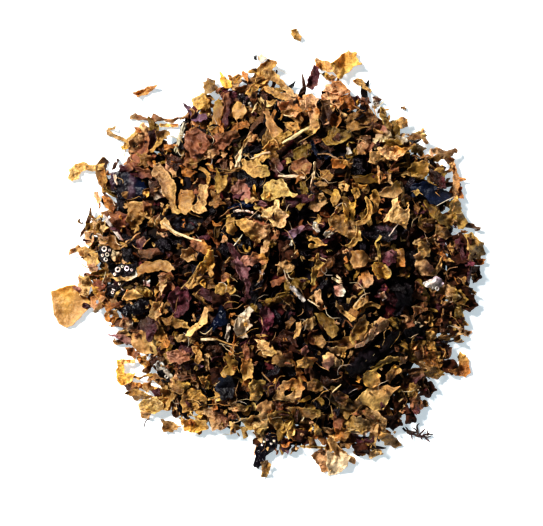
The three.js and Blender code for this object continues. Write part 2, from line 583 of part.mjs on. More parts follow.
// Each other piece is laid in turn, then lifted until it is clear of the table and all that lies there.
const placed = [heap];
const lift = 0.12;
const clear = (part) =>
  pieceSolid(part).boundingBox().min[2] >= 0 &&
  placed.every((other) => pieceSolid(part, clearance).intersect(other).isEmpty());
function layClear(name, material, parts) {
  const [main, ...branches] = parts;
  lay(main, placedTries, 4, thickness + clearance);
  branches.forEach((branch) => {
    const [dx, dy] = [branch.at[0] - main.at[0], branch.at[1] - main.at[1]];
    branch.slope = main.slope;
    branch.z = main.z + main.slope[0] * dx + main.slope[1] * dy;
  });
  while (!parts.every(clear)) parts.forEach((part) => (part.z += lift));
  mark(main);
  const solid = parts.map((part) => pieceSolid(part)).reduce((a, b) => a.add(b));
  placed.push(solid);
  addMesh(name, solid, material);
}
pieces.forEach(([name, material, piece]) => layClear(name, material, [piece]));
layClear("dark_sprig", maroon, [sprigStalk, ...sprigBranches]);

// The origin goes under the middle of the whole spread.
const middle = new THREE.Box3().setFromObject(group).getCenter(new THREE.Vector3());
group.children.forEach((mesh) => mesh.geometry.translate(-middle.x, -middle.y, 0));

export default group;
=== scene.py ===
import math
import random
import bpy
import numpy as np
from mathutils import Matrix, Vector


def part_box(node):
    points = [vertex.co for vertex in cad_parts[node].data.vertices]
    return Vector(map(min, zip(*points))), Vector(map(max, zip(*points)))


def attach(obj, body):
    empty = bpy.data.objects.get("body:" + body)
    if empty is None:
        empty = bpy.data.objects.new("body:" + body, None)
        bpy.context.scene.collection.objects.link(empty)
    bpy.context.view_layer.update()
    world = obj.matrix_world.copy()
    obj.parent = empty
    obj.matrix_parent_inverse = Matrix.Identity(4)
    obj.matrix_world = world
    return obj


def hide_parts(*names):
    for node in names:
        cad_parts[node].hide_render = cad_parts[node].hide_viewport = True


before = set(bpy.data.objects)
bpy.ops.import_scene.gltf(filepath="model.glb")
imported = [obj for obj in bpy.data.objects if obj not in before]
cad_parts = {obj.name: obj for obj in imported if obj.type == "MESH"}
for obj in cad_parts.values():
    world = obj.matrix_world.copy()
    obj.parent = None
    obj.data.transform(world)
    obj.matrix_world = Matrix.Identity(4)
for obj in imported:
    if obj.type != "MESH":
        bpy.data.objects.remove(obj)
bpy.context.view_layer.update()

# The heap. Places are in millimetres from a point near its middle, and shift brings them to the frame.
heap = {
    "shift": (0.362, -0.274),
    "step": 0.24,  # the traced outlines count in steps of this size
    "stepMiddle": (0.12, 0.096),  # from the corner of a step to its middle
    # bare table at the rim: x, y and reach, in steps
    "clear": [(25, 178, 13), (44, 170, 6), (88, 166, 8), (104, 162, 6), (124, 150, 8), (140, 128, 7),
              (-154, 99, 7), (-168, 104, 11), (-98, 120, 7), (-32, -187, 9), (-18, -180, 6), (-49, -193, 10),
              (39, -199, 8), (-122, -112, 6), (-138, -114, 7), (-186, -14, 7), (-190, 14, 8), (-178, 49, 6),
              (-176, -66, 8), (-168, -91, 12), (178, -131, 7), (164, -142, 5), (142, -171, 8), (-88, 138, 6),
              (-150, -64, 4)],
    "centre": (2.0, -2.8),
    "radii": [50, 50, 51, 51, 46.5, 49.5, 50.5, 43, 46.5, 46.5, 53, 49.5],  # every 30 degrees from +X
    "insideRings": [0.2, 0.39, 0.55, 0.67, 0.76, 0.82],
    "insideRises": [15.2, 13.6, 10.8, 7.2, 3.4, 0.5],
    "insideTop": 15.8,
    "coverRings": [0.1, 0.2, 0.3, 0.4, 0.5, 0.6, 0.7, 0.8, 0.88, 1.0, 1.15],
    "coverRises": [21.0, 20.5, 19.3, 17.9, 16.3, 13.4, 10.4, 6.6, 4.2, 2.0, 1.0],  # the middle of the flakes on top
    "seed": 5291,
}
millimetre = 0.001  # in the metres of the frame
anyPhase = 6.28  # a wave starts anywhere from nought to this
draw = random.Random(heap["seed"])


def between(low, high):
    return low + (high - low) * draw.random()


def heapRadius(x, y):
    radii = np.array(heap["radii"], float)
    count = len(radii)
    share = (np.arctan2(y, x) / (2 * np.pi) + 1) * count
    index = np.floor(share).astype(int)
    along = share - index
    low, high = radii[index % count], radii[(index + 1) % count]
    return low + (high - low) * along * along * (3 - 2 * along)


def radiusAt(angle):
    return float(heapRadius(np.array(math.cos(angle)), np.array(math.sin(angle))))


def inFrame(points):
    return (points + np.array([heap["shift"][0], heap["shift"][1], 0])) * millimetre


# Colours of the dry frond, in linear light.
tints = {
    "paleGold": (0.62, 0.43, 0.165),
    "gold": (0.49, 0.293, 0.083),
    "yellow": (0.60, 0.37, 0.075),
    "amber": (0.65, 0.41, 0.11),
    "olive": (0.27, 0.155, 0.026),
    "darkOlive": (0.11, 0.062, 0.012),
    "paleOlive": (0.46, 0.30, 0.085),
    "tan": (0.50, 0.31, 0.125),
    "pinkTan": (0.56, 0.33, 0.155),
    "orange": (0.42, 0.18, 0.04),
    "goldBrown": (0.28, 0.146, 0.040),
    "brown": (0.14, 0.062, 0.022),
    "rust": (0.20, 0.076, 0.034),
    "umber": (0.042, 0.018, 0.010),
    "black": (0.007, 0.005, 0.008),
    "navy": (0.004, 0.008, 0.023),
    "burgundy": (0.060, 0.014, 0.018),
    "crimson": (0.10, 0.018, 0.028),
    "mauve": (0.19, 0.080, 0.080),
    "rose": (0.29, 0.135, 0.095),
    "lilac": (0.14, 0.073, 0.095),
    "cream": (0.76, 0.63, 0.38),
    "greyCream": (0.58, 0.52, 0.41),
    "white": (0.74, 0.71, 0.65),
}
finishOf = {"umber": "dark", "black": "dark", "navy": "dark",
            "burgundy": "wine", "crimson": "wine", "mauve": "wine", "rose": "wine", "lilac": "wine", "rust": "wine",
            "cream": "pale", "greyCream": "pale", "white": "pale"}


def isClear(x, y, reach):
    for atX, atY, far in heap["clear"]:
        if math.hypot(x - atX * heap["step"], y - atY * heap["step"]) < far * heap["step"] + reach:
            return True
    return False


# How flakes are roughened: spacings in millimetres, shares of a flake's mean size, heights as shares of the spacing.
crumpling = {
    "stretch": (0.8, 1.25),
    "edgeShares": (0.45, 0.26), "edgeSpacings": (1.3, 0.9), "edgeHigh": 0.14, "edgeMost": 0.3,
    "creaseSpacings": (3.0, 1.8, 1.1, 0.75), "creaseHigh": 0.135,
    "creaseBend": 0.9, "creasePace": 0.6, "creaseCrest": 0.6,
    "waveSpacings": (5.5, 3.6), "waveHigh": 0.06,
    "foldPlace": (-0.3, 0.3), "foldSlope": (0.5, 1.2), "foldLimit": 3.4, "foldRound": 0.03,
    "patchShares": (0.8, 0.5), "patchSpacings": (2.2, 1.2),
    "hemCounts": (2, 5), "hemReach": 0.5, "hemMiddle": 0.4,
    "biteSize": (0.05, 0.12), "biteFar": 0.52,
}


def wavesOf(spacings, high):
    waves = []
    for spacing in spacings:
        angle = between(0, 2 * math.pi)
        k = 2 * math.pi / (spacing * between(*crumpling["stretch"]))
        waves.append((k * math.cos(angle), k * math.sin(angle), between(0, anyPhase), high * spacing))
    return waves


def wavesAt(waves, x, y):
    total = 0 * x
    for kx, ky, start, high in waves:
        total = total + high * np.sin(kx * x + ky * y + start)
    return total


def creasesAt(creases, x, y):  # like waves, but with sharp ridges that wander
    total = 0 * x
    for kx, ky, start, high in creases:
        bent = crumpling["creaseBend"] * np.sin(crumpling["creasePace"] * (kx * y - ky * x) + start)
        total = total + high * (crumpling["creaseCrest"] - np.abs(np.sin(0.5 * (kx * x + ky * y) + start + bent)))
    return total


def foldsOf(count, slope):  # straight folds: direction, place and slope
    return [(between(0, anyPhase), between(*crumpling["foldPlace"]),
             slope * between(*crumpling["foldSlope"]) * draw.choice([-1, 1])) for _ in range(count)]


def spacingsOf(kind, mean):
    return [share * mean for share in crumpling[kind + "Shares"]] + list(crumpling[kind + "Spacings"])


def finished(made, mean):
    edgeWaves = wavesOf(spacingsOf("edge", mean), crumpling["edgeHigh"] * made["ragged"])
    most = crumpling["edgeMost"] * made["ragged"]
    made["edgeWaves"] = [(kx, ky, start, min(high, most)) for kx, ky, start, high in edgeWaves]
    made["creases"] = wavesOf(crumpling["creaseSpacings"], crumpling["creaseHigh"] * made["crumple"])
    made["waves"] = wavesOf(crumpling["waveSpacings"], crumpling["waveHigh"] * made["crumple"])
    made["hems"] = (draw.randint(*crumpling["hemCounts"]), between(0, anyPhase))
    made["lines"] = foldsOf(made["folds"], min(made["foldSlope"], crumpling["foldLimit"] / mean))
    made["patches"] = wavesOf(spacingsOf("patch", mean), 1 / mean)
    made["bitten"] = [(between(0, anyPhase), between(*crumpling["biteSize"]) * mean) for _ in range(made["bites"])]
    return made


# What a piece is unless its own line says otherwise. Ranges are shares of its size.
ordinary = {"thick": 0.3, "ragged": 0.5, "grain": 0.38, "crumple": 1.0, "folds": 0, "foldSlope": 0.85, "hem": 0.45,
            "coil": 0, "hole": 0, "bites": 2, "blot": None, "blots": 0.45}
flakeShape = {"curl": (-0.16, 0.18), "roll": (-0.14, 0.2), "twist": (-0.12, 0.12), "wave": 0.04, "waveCount": 3,
              "folds": [0, 1, 1]}
strapShape = {"bend": (-25, 25), "tip": (0.5, 1.0), "curl": (-0.1, 0.12), "roll": (-0.3, 0.4), "twist": (-0.4, 0.4),
              "wave": 0.025, "waveCount": 1.5, "ragged": 0.3, "bites": 1}
stalkShape = {"bend": 0, "tips": (0.9, 0.7), "rise": 0.2, "sides": 8, "wander": 0.03, "blot": None, "blots": 0.3,
              "patchSpacings": (3, 1.6), "patchHigh": 0.3, "waveSpacings": (4.0, 2.2)}


def flake(rim, x, y, heading, length, width, tint="gold", **look):
    mean = (length + width) / 2
    made = {
        **ordinary, "kind": "plate", "rim": rim, "at": (x, y), "heading": heading, "size": (length, width),
        "tint": tint,
        "curl": mean * between(*flakeShape["curl"]), "roll": mean * between(*flakeShape["roll"]),
        "twist": mean * between(*flakeShape["twist"]), "wave": mean * flakeShape["wave"],
        "waveCount": flakeShape["waveCount"], "phase": between(0, anyPhase), "folds": draw.choice(flakeShape["folds"]),
        **look,
    }
    return finished(made, mean)


def strap(x, y, heading, length, width, tint="gold", **look):
    made = {
        **ordinary, "kind": "strap", "at": (x, y), "heading": heading, "size": (length, width), "tint": tint,
        "bend": between(*strapShape["bend"]), "tips": (between(*strapShape["tip"]), between(*strapShape["tip"])),
        "curl": length * between(*strapShape["curl"]), "roll": width * between(*strapShape["roll"]),
        "twist": width * between(*strapShape["twist"]), "wave": length * strapShape["wave"],
        "waveCount": strapShape["waveCount"], "phase": between(0, anyPhase), "ragged": strapShape["ragged"],
        "bites": strapShape["bites"], **look,
    }
    return finished(made, (length + width) / 2)


def stalk(x, y, heading, length, width, tint="cream", **look):
    made = {**stalkShape, "kind": "stalk", "at": (x, y), "heading": heading, "size": (length, width), "thick": width,
            "tint": tint, **look}
    made["patches"] = wavesOf(made["patchSpacings"], made["patchHigh"])
    made["waves"] = wavesOf(made["waveSpacings"], made["wander"])
    return made


# Ways in which the traced flakes differ: hollow is how far each side bends in, in shares of its length.
smooth = {"folds": 0, "crumple": 0.45, "hollow": 0.05, "calm": True}
crumpled = {"folds": 2, "crumple": 1.4, "hollow": 0.12}
# The look of the dark flakes that stand for painted shade in the gaps of the heap.
paintedShadeLook = {"paintedShade": True, "folds": 2, "crumple": 1.4}
cutting = {"hollow": 0.08, "longSide": 0.9, "hollowAt": (0.35, 0.65), "hollowDeep": (0.1, 1.6), "ragged": 0.4,
           "raggedShare": 9, "grain": 0.29, "grainShare": 14}


def placeOf(steps):  # from steps to millimetres, as two columns
    return np.array(steps, float).reshape(-1, 2) * heap["step"] - heap["stepMiddle"]


# A flake of a traced outline, laid along its longer side: x and y are its first corner, and the others count from it.
def cut(tint, x, y, outline, **look):
    corners = placeOf(np.reshape([0, 0, *outline], (-1, 2)) + (x, y))
    spread = np.cov((corners - corners.mean(axis=0)).T)
    heading = 0.5 * math.atan2(2 * spread[0, 1], spread[0, 0] - spread[1, 1])
    c, s = math.cos(heading), math.sin(heading)
    turned = corners @ np.array([[c, -s], [s, c]])
    low, high = turned.min(axis=0), turned.max(axis=0)
    middle = (low + high) / 2
    length, width = high - low
    hollow = look.get("hollow", cutting["hollow"])
    turned = turned - middle
    after = np.roll(turned, -1, axis=0)
    if (turned[:, 0] * after[:, 1] - after[:, 0] * turned[:, 1]).sum() < 0:
        turned = turned[::-1]
    rim = []
    for (ax, ay), (bx, by) in zip(turned, np.roll(turned, -1, axis=0)):  # each side is hollow between its corners
        rim.append((ax, ay))
        if math.hypot(bx - ax, by - ay) > cutting["longSide"]:
            share, deep = between(*cutting["hollowAt"]), hollow * between(*cutting["hollowDeep"])
            rim.append((ax + (bx - ax) * share - (by - ay) * deep, ay + (by - ay) * share + (bx - ax) * deep))
    small = {"ragged": min(cutting["ragged"], width / cutting["raggedShare"]), "bites": 0,
             "grain": min(cutting["grain"], (length + width) / cutting["grainShare"])}
    return flake(rim, middle[0] * c - middle[1] * s, middle[0] * s + middle[1] * c, math.degrees(heading), length,
                 width, tint, **{**small, **look})


def dots(outline, *places):  # white spots of one shape
    return [cut("white", x, y, outline) for x, y in places]


def spanOf(x0, y0, x1, y1, bend):  # middle, heading and length of a line, bent or straight
    (ax, ay), (bx, by) = placeOf([x0, y0, x1, y1])
    half = math.radians(abs(bend)) / 2
    length = math.hypot(bx - ax, by - ay) * (half / math.sin(half) if half > 0.02 else 1)
    return (ax + bx) / 2, (ay + by) / 2, math.degrees(math.atan2(by - ay, bx - ax)), length


def band(tint, x0, y0, x1, y1, wide, bend=0, **look):
    x, y, heading, length = spanOf(x0, y0, x1, y1, bend)
    width = wide * heap["step"]
    small = {"bend": bend, "grain": min(0.3, width / 3), "bites": 0, "curl": 0.06 * length}
    return strap(x, y, heading, length, width, tint, **{**small, **look})


def thread(tint, x0, y0, x1, y1, wide, bend=0, **look):
    x, y, heading, length = spanOf(x0, y0, x1, y1, bend)
    small = {"bend": bend, "sides": 7, "rise": 0.05 * length}
    return stalk(x, y, heading, length, wide * heap["step"], tint, **{**small, **look})


def ring(x, y, far):  # the mouth of a worm tube, nearly closed
    (atX, atY), = placeOf([x, y])
    reach = far * heap["step"]
    wide = 0.56 * far * heap["step"]
    return stalk(atX, atY, 0, 2 * math.pi * (reach - wide / 2), wide, "white", bend=352, rise=0, sides=7, wander=0.01)


def edgeDistance(p, a, b):  # below zero inside the flake
    length, width = p["size"]
    if p["kind"] == "strap":
        tip = np.where(a < 0, p["tips"][0], p["tips"][1])
        u = 2 * a / length
        far = np.maximum(np.abs(b) - width / 2 * (1 + (tip - 1) * u * u), np.abs(a) - length / 2)
    else:
        far = np.full(a.shape, 1e3)
        within = np.zeros(a.shape, bool)
        for (ax, ay), (bx, by) in zip(p["rim"], p["rim"][1:] + p["rim"][:1]):
            ex, ey = bx - ax, by - ay
            t = np.clip(((a - ax) * ex + (b - ay) * ey) / (ex * ex + ey * ey), 0, 1)
            far = np.minimum(far, np.hypot(a - ax - t * ex, b - ay - t * ey))
            within ^= ((ay > b) != (by > b)) & (a < ax + (b - ay) * ex / (ey if abs(ey) > 1e-9 else 1e-9))
        far = np.where(within, -far, far)
        for angle, size in p["bitten"]:
            atA = crumpling["biteFar"] * length * math.cos(angle)
            atB = crumpling["biteFar"] * width * math.sin(angle)
            far = np.maximum(far, size - np.hypot(a - atA, b - atB))
        if p["hole"]:
            far = np.maximum(far, p["hole"] * (length + width) / 4 - np.hypot(a, b * length / width))
    return far + wavesAt(p["edgeWaves"], a, b)


def surfaceOf(p, a, b, deep):
    length, width = p["size"]
    u, v = 2 * a / length, 2 * b / width
    around = np.arctan2(v, u)
    rise = p["curl"] * u * u + p["roll"] * v * v + p["twist"] * u * v
    if p["kind"] == "plate":
        rise = rise + p["wave"] * (u * u + v * v) * np.sin(p["waveCount"] * around + p["phase"])
    else:
        rise = rise + p["wave"] * np.sin(p["waveCount"] * math.pi * u + p["phase"])
    for angle, place, slope in p["lines"]:
        away = a * math.cos(angle) + b * math.sin(angle) - place * length / 2
        rise = rise + slope * np.sqrt(away * away + crumpling["foldRound"])
    crease = creasesAt(p["creases"], a, b)
    rise = rise + crease + wavesAt(p["waves"], a, b)
    hem = crumpling["hemMiddle"] + np.sin(p["hems"][0] * around + p["hems"][1])
    rise = rise + p["hem"] * np.exp(-deep / crumpling["hemReach"]) * hem
    x, y = a, b
    if p["kind"] == "strap" and abs(p["bend"]) > 1:
        turn = math.radians(p["bend"])
        radius = length / turn
        angle = a / radius
        x = (radius - b) * np.sin(angle)
        y = radius * (1 - np.cos(angle)) - radius * (1 - math.cos(turn / 2)) / 2 + b * np.cos(angle)
    if p["coil"]:
        turn = math.radians(p["coil"]) / length
        x, rise = (1 / turn - rise) * np.sin(x * turn), (1 - np.cos(x * turn)) / turn + rise * np.cos(x * turn)
    return np.stack([x, y, rise], axis=-1), crease


# The net of triangles that a flake is cut from: how far it reaches past the flake, and where its cuts may fall.
net = {"reachLong": 0.56, "reachWide": 0.58, "margin": 0.3, "snap": 0.06, "cuts": (0.1, 0.9)}


def turnedTo(tri, first):  # each row starts with the corner that first gives
    return tri[np.arange(len(tri))[:, None], (first[:, None] + np.arange(3)) % 3] if len(tri) else tri


def largestPart(faces, count):
    label = np.arange(count)
    while len(faces):
        low = label[faces].min(axis=1)
        after = label.copy()
        np.minimum.at(after, faces, low[:, None])
        if (after == label).all():
            break
        label = after
    parts, sizes = np.unique(label[faces[:, 0]], return_counts=True)
    return faces[label[faces[:, 0]] == parts[np.argmax(sizes)]]


def cutSheet(p):
    length, width = p["size"]
    grain = p["grain"]
    spanA, spanB = length * net["reachLong"] + net["margin"], width * net["reachWide"] + net["margin"]
    aLine = np.linspace(-spanA, spanA, max(5, round(2 * spanA / grain)) + 1)
    bLine = np.linspace(-spanB, spanB, max(4, round(2 * spanB / grain)) + 1)
    a, b = np.meshgrid(aLine, bLine, indexing="ij")
    far = edgeDistance(p, a, b)
    index = np.arange(far.size).reshape(far.shape)
    c0, c1, c2, c3 = index[:-1, :-1].ravel(), index[1:, :-1].ravel(), index[1:, 1:].ravel(), index[:-1, 1:].ravel()
    tri = np.concatenate([np.stack([c0, c1, c2], 1), np.stack([c0, c2, c3], 1)])
    a, b, far = a.ravel(), b.ravel(), far.ravel()
    far = np.where(np.abs(far) < net["snap"] * grain, -net["snap"] * grain, far)
    within = far[tri] < 0
    count = within.sum(axis=1)
    ones = turnedTo(tri[count == 1], np.argmax(within[count == 1], axis=1))
    twos = turnedTo(tri[count == 2], np.argmin(within[count == 2], axis=1))
    total = far.size
    cuts = np.concatenate([ones[:, [0, 1]], ones[:, [0, 2]], twos[:, [0, 1]], twos[:, [0, 2]]])
    keys, which = np.unique(cuts.min(axis=1) * total + cuts.max(axis=1), return_inverse=True)
    first, second = keys // total, keys % total
    share = np.clip(far[first] / (far[first] - far[second]), *net["cuts"])
    a = np.concatenate([a, a[first] + (a[second] - a[first]) * share])
    b = np.concatenate([b, b[first] + (b[second] - b[first]) * share])
    far = np.concatenate([far, 0 * share])
    which = which.ravel() + total
    n1, n2 = len(ones), len(twos)
    near, other = which[2 * n1:2 * n1 + n2], which[2 * n1 + n2:]
    faces = np.concatenate([
        tri[count == 3],
        np.stack([ones[:, 0], which[:n1], which[n1:2 * n1]], 1),
        np.stack([near, twos[:, 1], twos[:, 2]], 1),
        np.stack([near, twos[:, 2], other], 1),
    ])
    faces = largestPart(faces, len(a))
    used, faces = np.unique(faces, return_inverse=True)
    faces = faces.reshape(-1, 3)
    edges = np.concatenate([faces[:, [0, 1]], faces[:, [1, 2]], faces[:, [2, 0]]])
    forward, back = edges[:, 0] * len(used) + edges[:, 1], edges[:, 1] * len(used) + edges[:, 0]
    return a[used], b[used], np.maximum(-far[used], 0), faces, edges[~np.isin(forward, back)]


def centreLine(p):
    length = p["size"][0]
    u = np.linspace(-1, 1, max(5, round(length / 0.9), round(abs(p["bend"]) / 22)) + 1)  # short and straight enough
    turn = math.radians(p["bend"])
    s = u * length / 2
    x, y = s, 0 * s
    if abs(turn) > 0.02:
        radius = length / turn
        x, y = radius * np.sin(s / radius), radius * (1 - np.cos(s / radius)) - radius * (1 - math.cos(turn / 2)) / 2
    y = y + wavesAt(p["waves"], s, 0 * s)
    z = p["rise"] * u * u + wavesAt(p["waves"], 0 * s, s)
    return u, np.stack([x, y, z], axis=-1)


# The height map, on which each piece comes to rest.
cell = 0.5
mapSide = 280
resting = {"clearance": 0.03, "spread": 0.22, "firm": 0.01, "fade": 7, "lowest": -1}
heights = np.zeros((mapSide, mapSide))


def coverRise(x, y):
    dx, dy = x - heap["centre"][0], y - heap["centre"][1]
    share = math.hypot(dx, dy) / float(heapRadius(np.array(dx), np.array(dy)))
    return float(np.interp(share, heap["coverRings"], heap["coverRises"]))


def column(value):
    return np.clip(np.floor(value / cell + mapSide / 2).astype(int), 0, mapSide - 1)


def basisOf(heading, slope, upright):
    c, s = math.cos(math.radians(heading)), math.sin(math.radians(heading))
    along = np.array([c, s, slope[0] * c + slope[1] * s])
    across = np.array([-s, c, -slope[0] * s + slope[1] * c])
    if upright:  # keeps its outline from above, where the others keep their size
        return np.stack([along, across, np.array([0, 0, 1.0])])
    normal = np.array([-slope[0], -slope[1], 1.0])
    normal /= np.linalg.norm(normal)
    along /= np.linalg.norm(along)
    return np.stack([along, np.cross(normal, along), normal])


# Of several tries the lowest stays. turning and wander are how far a piece strays, settle is how well it follows
# what is under it, sink is the share of it that stays clear by the gap, and drop is how deep it goes under the cover.
def lay(p, tries=4, turning=4, wander=0.0, lean=0.2, settle=0.85, steepest=0.95, upright=True, gap=0.25, sink=95,
        drop=0.0, span=None):
    if p["kind"] == "stalk":
        u, local = centreLine(p)
        p.update(u=u)
    else:
        a, b, deep, faces, edges = cutSheet(p)
        local, crease = surfaceOf(p, a, b, deep)
        p.update(a=a, b=b, deep=deep, faces=faces, edges=edges, crease=crease)
    clearance = p["thick"] / 2 + resting["clearance"]  # over the table
    best = None
    for _ in range(tries):
        heading = p["heading"] + turning * between(-1, 1)
        at = (p["at"][0] + wander * between(-1, 1), p["at"][1] + wander * between(-1, 1))
        plan = local @ basisOf(heading, (0, 0), True)
        under = heights[column(plan[:, 1] + at[1]), column(plan[:, 0] + at[0])]
        dx, dy, dh = plan[:, 0] - plan[:, 0].mean(), plan[:, 1] - plan[:, 1].mean(), under - under.mean()
        xx, xy, yy = (dx * dx).sum() + resting["firm"], (dx * dy).sum(), (dy * dy).sum() + resting["firm"]
        xh, yh = (dx * dh).sum(), (dy * dh).sum()
        whole = xx * yy - xy * xy + resting["firm"]
        slope = [settle * (xh * yy - yh * xy) / whole + lean * between(-1, 1),
                 settle * (yh * xx - xh * xy) / whole + lean * between(-1, 1)]
        steep = math.hypot(*slope)
        if steep > steepest:
            slope = [value * steepest / steep for value in slope]
        placed = local @ basisOf(heading, slope, upright)
        below = heights[column(placed[:, 1] + at[1]), column(placed[:, 0] + at[0])]
        z = max(np.percentile(below + gap - placed[:, 2], sink), (clearance - placed[:, 2]).max())
        middle = z + placed[:, 2].mean()
        if best is None or middle < best[0]:
            best = (middle, placed + np.array([at[0], at[1], z]))
    middle, points = best
    cover = coverRise(*p["at"])
    low, high = span or (resting["lowest"], cover - drop * min(1, cover / resting["fade"]))
    shift = min(max(middle, low), high) - middle  # pressed into the heap, where it is piled too high
    points[:, 2] += max(shift, (clearance - points[:, 2]).max())
    for ox in (-resting["spread"], resting["spread"]):
        for oy in (-resting["spread"], resting["spread"]):
            np.maximum.at(heights, (column(points[:, 1] + oy), column(points[:, 0] + ox)), points[:, 2])
    p["points"] = points
    return p


sheet = {"rimThick": 0.55, "growth": 0.45, "rimWidth": 0.7, "edgeHighlightWidth": 0.8, "sharp": 50}
tube = {"flat": 0.8, "uneven": 0.12, "lobes": 3, "twist": 5}


def sheetSolid(p):
    points, faces, count = p["points"], p["faces"], len(p["points"])
    turned = np.cross(points[faces[:, 1]] - points[faces[:, 0]], points[faces[:, 2]] - points[faces[:, 0]])
    normals = np.zeros_like(points)
    for k in range(3):
        np.add.at(normals, faces[:, k], turned)
    normals /= np.maximum(np.linalg.norm(normals, axis=1), 1e-9)[:, None]
    inward = np.clip(p["deep"] / sheet["rimWidth"], 0, 1)
    half = p["thick"] / 2 * (sheet["rimThick"] + sheet["growth"] * inward)[:, None]
    corners = np.vstack([points + normals * half, points - normals * half])
    a, b = p["edges"][:, 0], p["edges"][:, 1]
    walls = [np.stack([b, a, a + count], 1), np.stack([b, a + count, b + count], 1)]
    return corners, np.concatenate([faces, faces[:, [0, 2, 1]] + count] + walls)


def tubeSolid(p):
    middle, sides = p["points"], p["sides"]
    count = len(middle)
    along = np.gradient(middle, axis=0)
    along /= np.linalg.norm(along, axis=1)[:, None]
    side = np.cross(np.array([0, 0, 1.0]), along)
    side /= np.maximum(np.linalg.norm(side, axis=1), 1e-6)[:, None]
    up = np.cross(along, side)
    tip = np.where(p["u"] < 0, p["tips"][0], p["tips"][1])
    radius = p["size"][1] / 2 * (1 + (tip - 1) * p["u"] ** 2)
    rings = []
    for k in range(sides):
        angle = 2 * math.pi * k / sides
        uneven = 1 + tube["uneven"] * np.sin(tube["lobes"] * angle + tube["twist"] * p["u"])
        outward = side * math.cos(angle) + up * tube["flat"] * math.sin(angle)
        rings.append(middle + outward * (radius * uneven)[:, None])
    corners = np.stack(rings, 1).reshape(-1, 3)
    i, k = np.meshgrid(np.arange(count - 1), np.arange(sides), indexing="ij")
    a, b = (i * sides + k).ravel(), (i * sides + (k + 1) % sides).ravel()
    k = np.arange(sides)
    last = (count - 1) * sides
    faces = [np.stack([a, b + sides, a + sides], 1), np.stack([a, b, b + sides], 1)]
    faces.append(np.stack([0 * k + count * sides, (k + 1) % sides, k], 1))
    faces.append(np.stack([0 * k + count * sides + 1, last + k, last + (k + 1) % sides], 1))
    return np.vstack([corners, middle[0], middle[-1]]), np.concatenate(faces)


# How the colour of a flake strays from its tint, along it and in patches, with painted light and shade on its crumple:
# lighter on the crests, darker in the troughs.
shading = {
    "bright": (-0.14, 0.14), "green": (-0.06, 0.03), "blue": (-0.12, 0.12), "other": (0.7, 1.1),
    "otherGreen": (0.85, 1), "otherBlue": (0.75, 1.05), "blot": (0.55, 0.38, 0.3), "crease": 0.25, "paintedCreaseShade": 0.16,
    "change": 0.9, "changeFrom": 0.3, "patchFrom": 0.25, "patchGain": 1.2,
}


def coloursOf(p):
    base = np.array(tints[p["tint"]]) * np.exp(between(*shading["bright"]))
    base = base * np.array([1, np.exp(between(*shading["green"])), np.exp(between(*shading["blue"]))])
    if "tip" in p:
        other = np.array(tints[p["tip"]])
    else:
        other = base * between(*shading["other"])
        other = other * np.array([1, between(*shading["otherGreen"]), between(*shading["otherBlue"])])
    blot = np.array(tints[p["blot"]]) if p["blot"] else base * np.array(shading["blot"])
    if p["kind"] == "stalk":
        u = p["u"]
        a, b = u * p["size"][0] / 2, 0 * u
        paintedLightAndShade = 0 * u
    else:
        a, b = p["a"], p["b"]
        u = 2 * a / p["size"][0]
        # painted light and shade: lighter on the crests of the crumple, darker in its troughs
        paintedLightAndShade = np.clip(p["crease"] / shading["crease"], -1, 1) * shading["paintedCreaseShade"]
    share = np.clip(0.5 + (u + 0.5 * np.sin(b)) * shading["change"] - shading["changeFrom"], 0, 1)[:, None]
    colour = base * (1 - share) + other * share
    patch = (wavesAt(p["patches"], a, b) - shading["patchFrom"]) * shading["patchGain"]
    patch = np.clip(patch, 0, 1)[:, None] * p["blots"]
    return (colour * (1 - patch) + blot * patch) * (1 + paintedLightAndShade)[:, None]


def meshObject(name, corners, faces, colours, rims, material):  # places in millimetres, faces of three corners
    mesh = bpy.data.meshes.new(name)
    mesh.vertices.add(len(corners))
    mesh.vertices.foreach_set("co", inFrame(corners).astype(np.float32).ravel())
    mesh.loops.add(len(faces) * 3)
    mesh.loops.foreach_set("vertex_index", faces.astype(np.int32).ravel())
    mesh.polygons.add(len(faces))
    mesh.polygons.foreach_set("loop_start", np.arange(0, len(faces) * 3, 3, dtype=np.int32))
    mesh.update(calc_edges=True)
    opaque = np.hstack([colours, np.ones((len(corners), 1))])
    mesh.attributes.new("tint", "FLOAT_COLOR", "POINT").data.foreach_set("color", opaque.astype(np.float32).ravel())
    mesh.attributes.new("rim", "FLOAT", "POINT").data.foreach_set("value", rims.astype(np.float32))
    mesh.shade_smooth()
    mesh.materials.append(material)
    made = bpy.data.objects.new(name, mesh)
    bpy.context.collection.objects.link(made)
    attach(made, "root")
    return made


def objectOf(name, pieces, material):
    corners, faces, rims, colours, start = [], [], [], [], 0
    for p in pieces:
        if p["kind"] == "stalk":
            c, f = tubeSolid(p)
            colour = np.repeat(coloursOf(p), p["sides"], axis=0)
            colour = np.vstack([colour, colour[0], colour[-1]])
            rim = np.zeros(len(c))
        else:
            c, f = sheetSolid(p)
            colour = np.tile(coloursOf(p), (2, 1))
            # near the edge the rim value rises, for the painted highlight along the edge
            rim = np.tile(np.clip(1 - p["deep"] / sheet["edgeHighlightWidth"], 0, 1), 2)
        corners.append(c)
        faces.append(f + start)
        rims.append(rim)
        colours.append(colour)
        start += len(c)
    made = meshObject(name, np.concatenate(corners), np.concatenate(faces), np.concatenate(colours),
                      np.concatenate(rims), material)
    made.data.set_sharp_from_angle(angle=math.radians(sheet["sharp"]))
    return made


# Finishes. Each reads the colour of its flake, and adds blotches, specks, a painted highlight along the edge, painted
# highlight lines on the ridges and a fine wrinkle.
def nodeTree(material):
    material.use_nodes = True
    tree = material.node_tree
    tree.nodes.clear()
    return tree


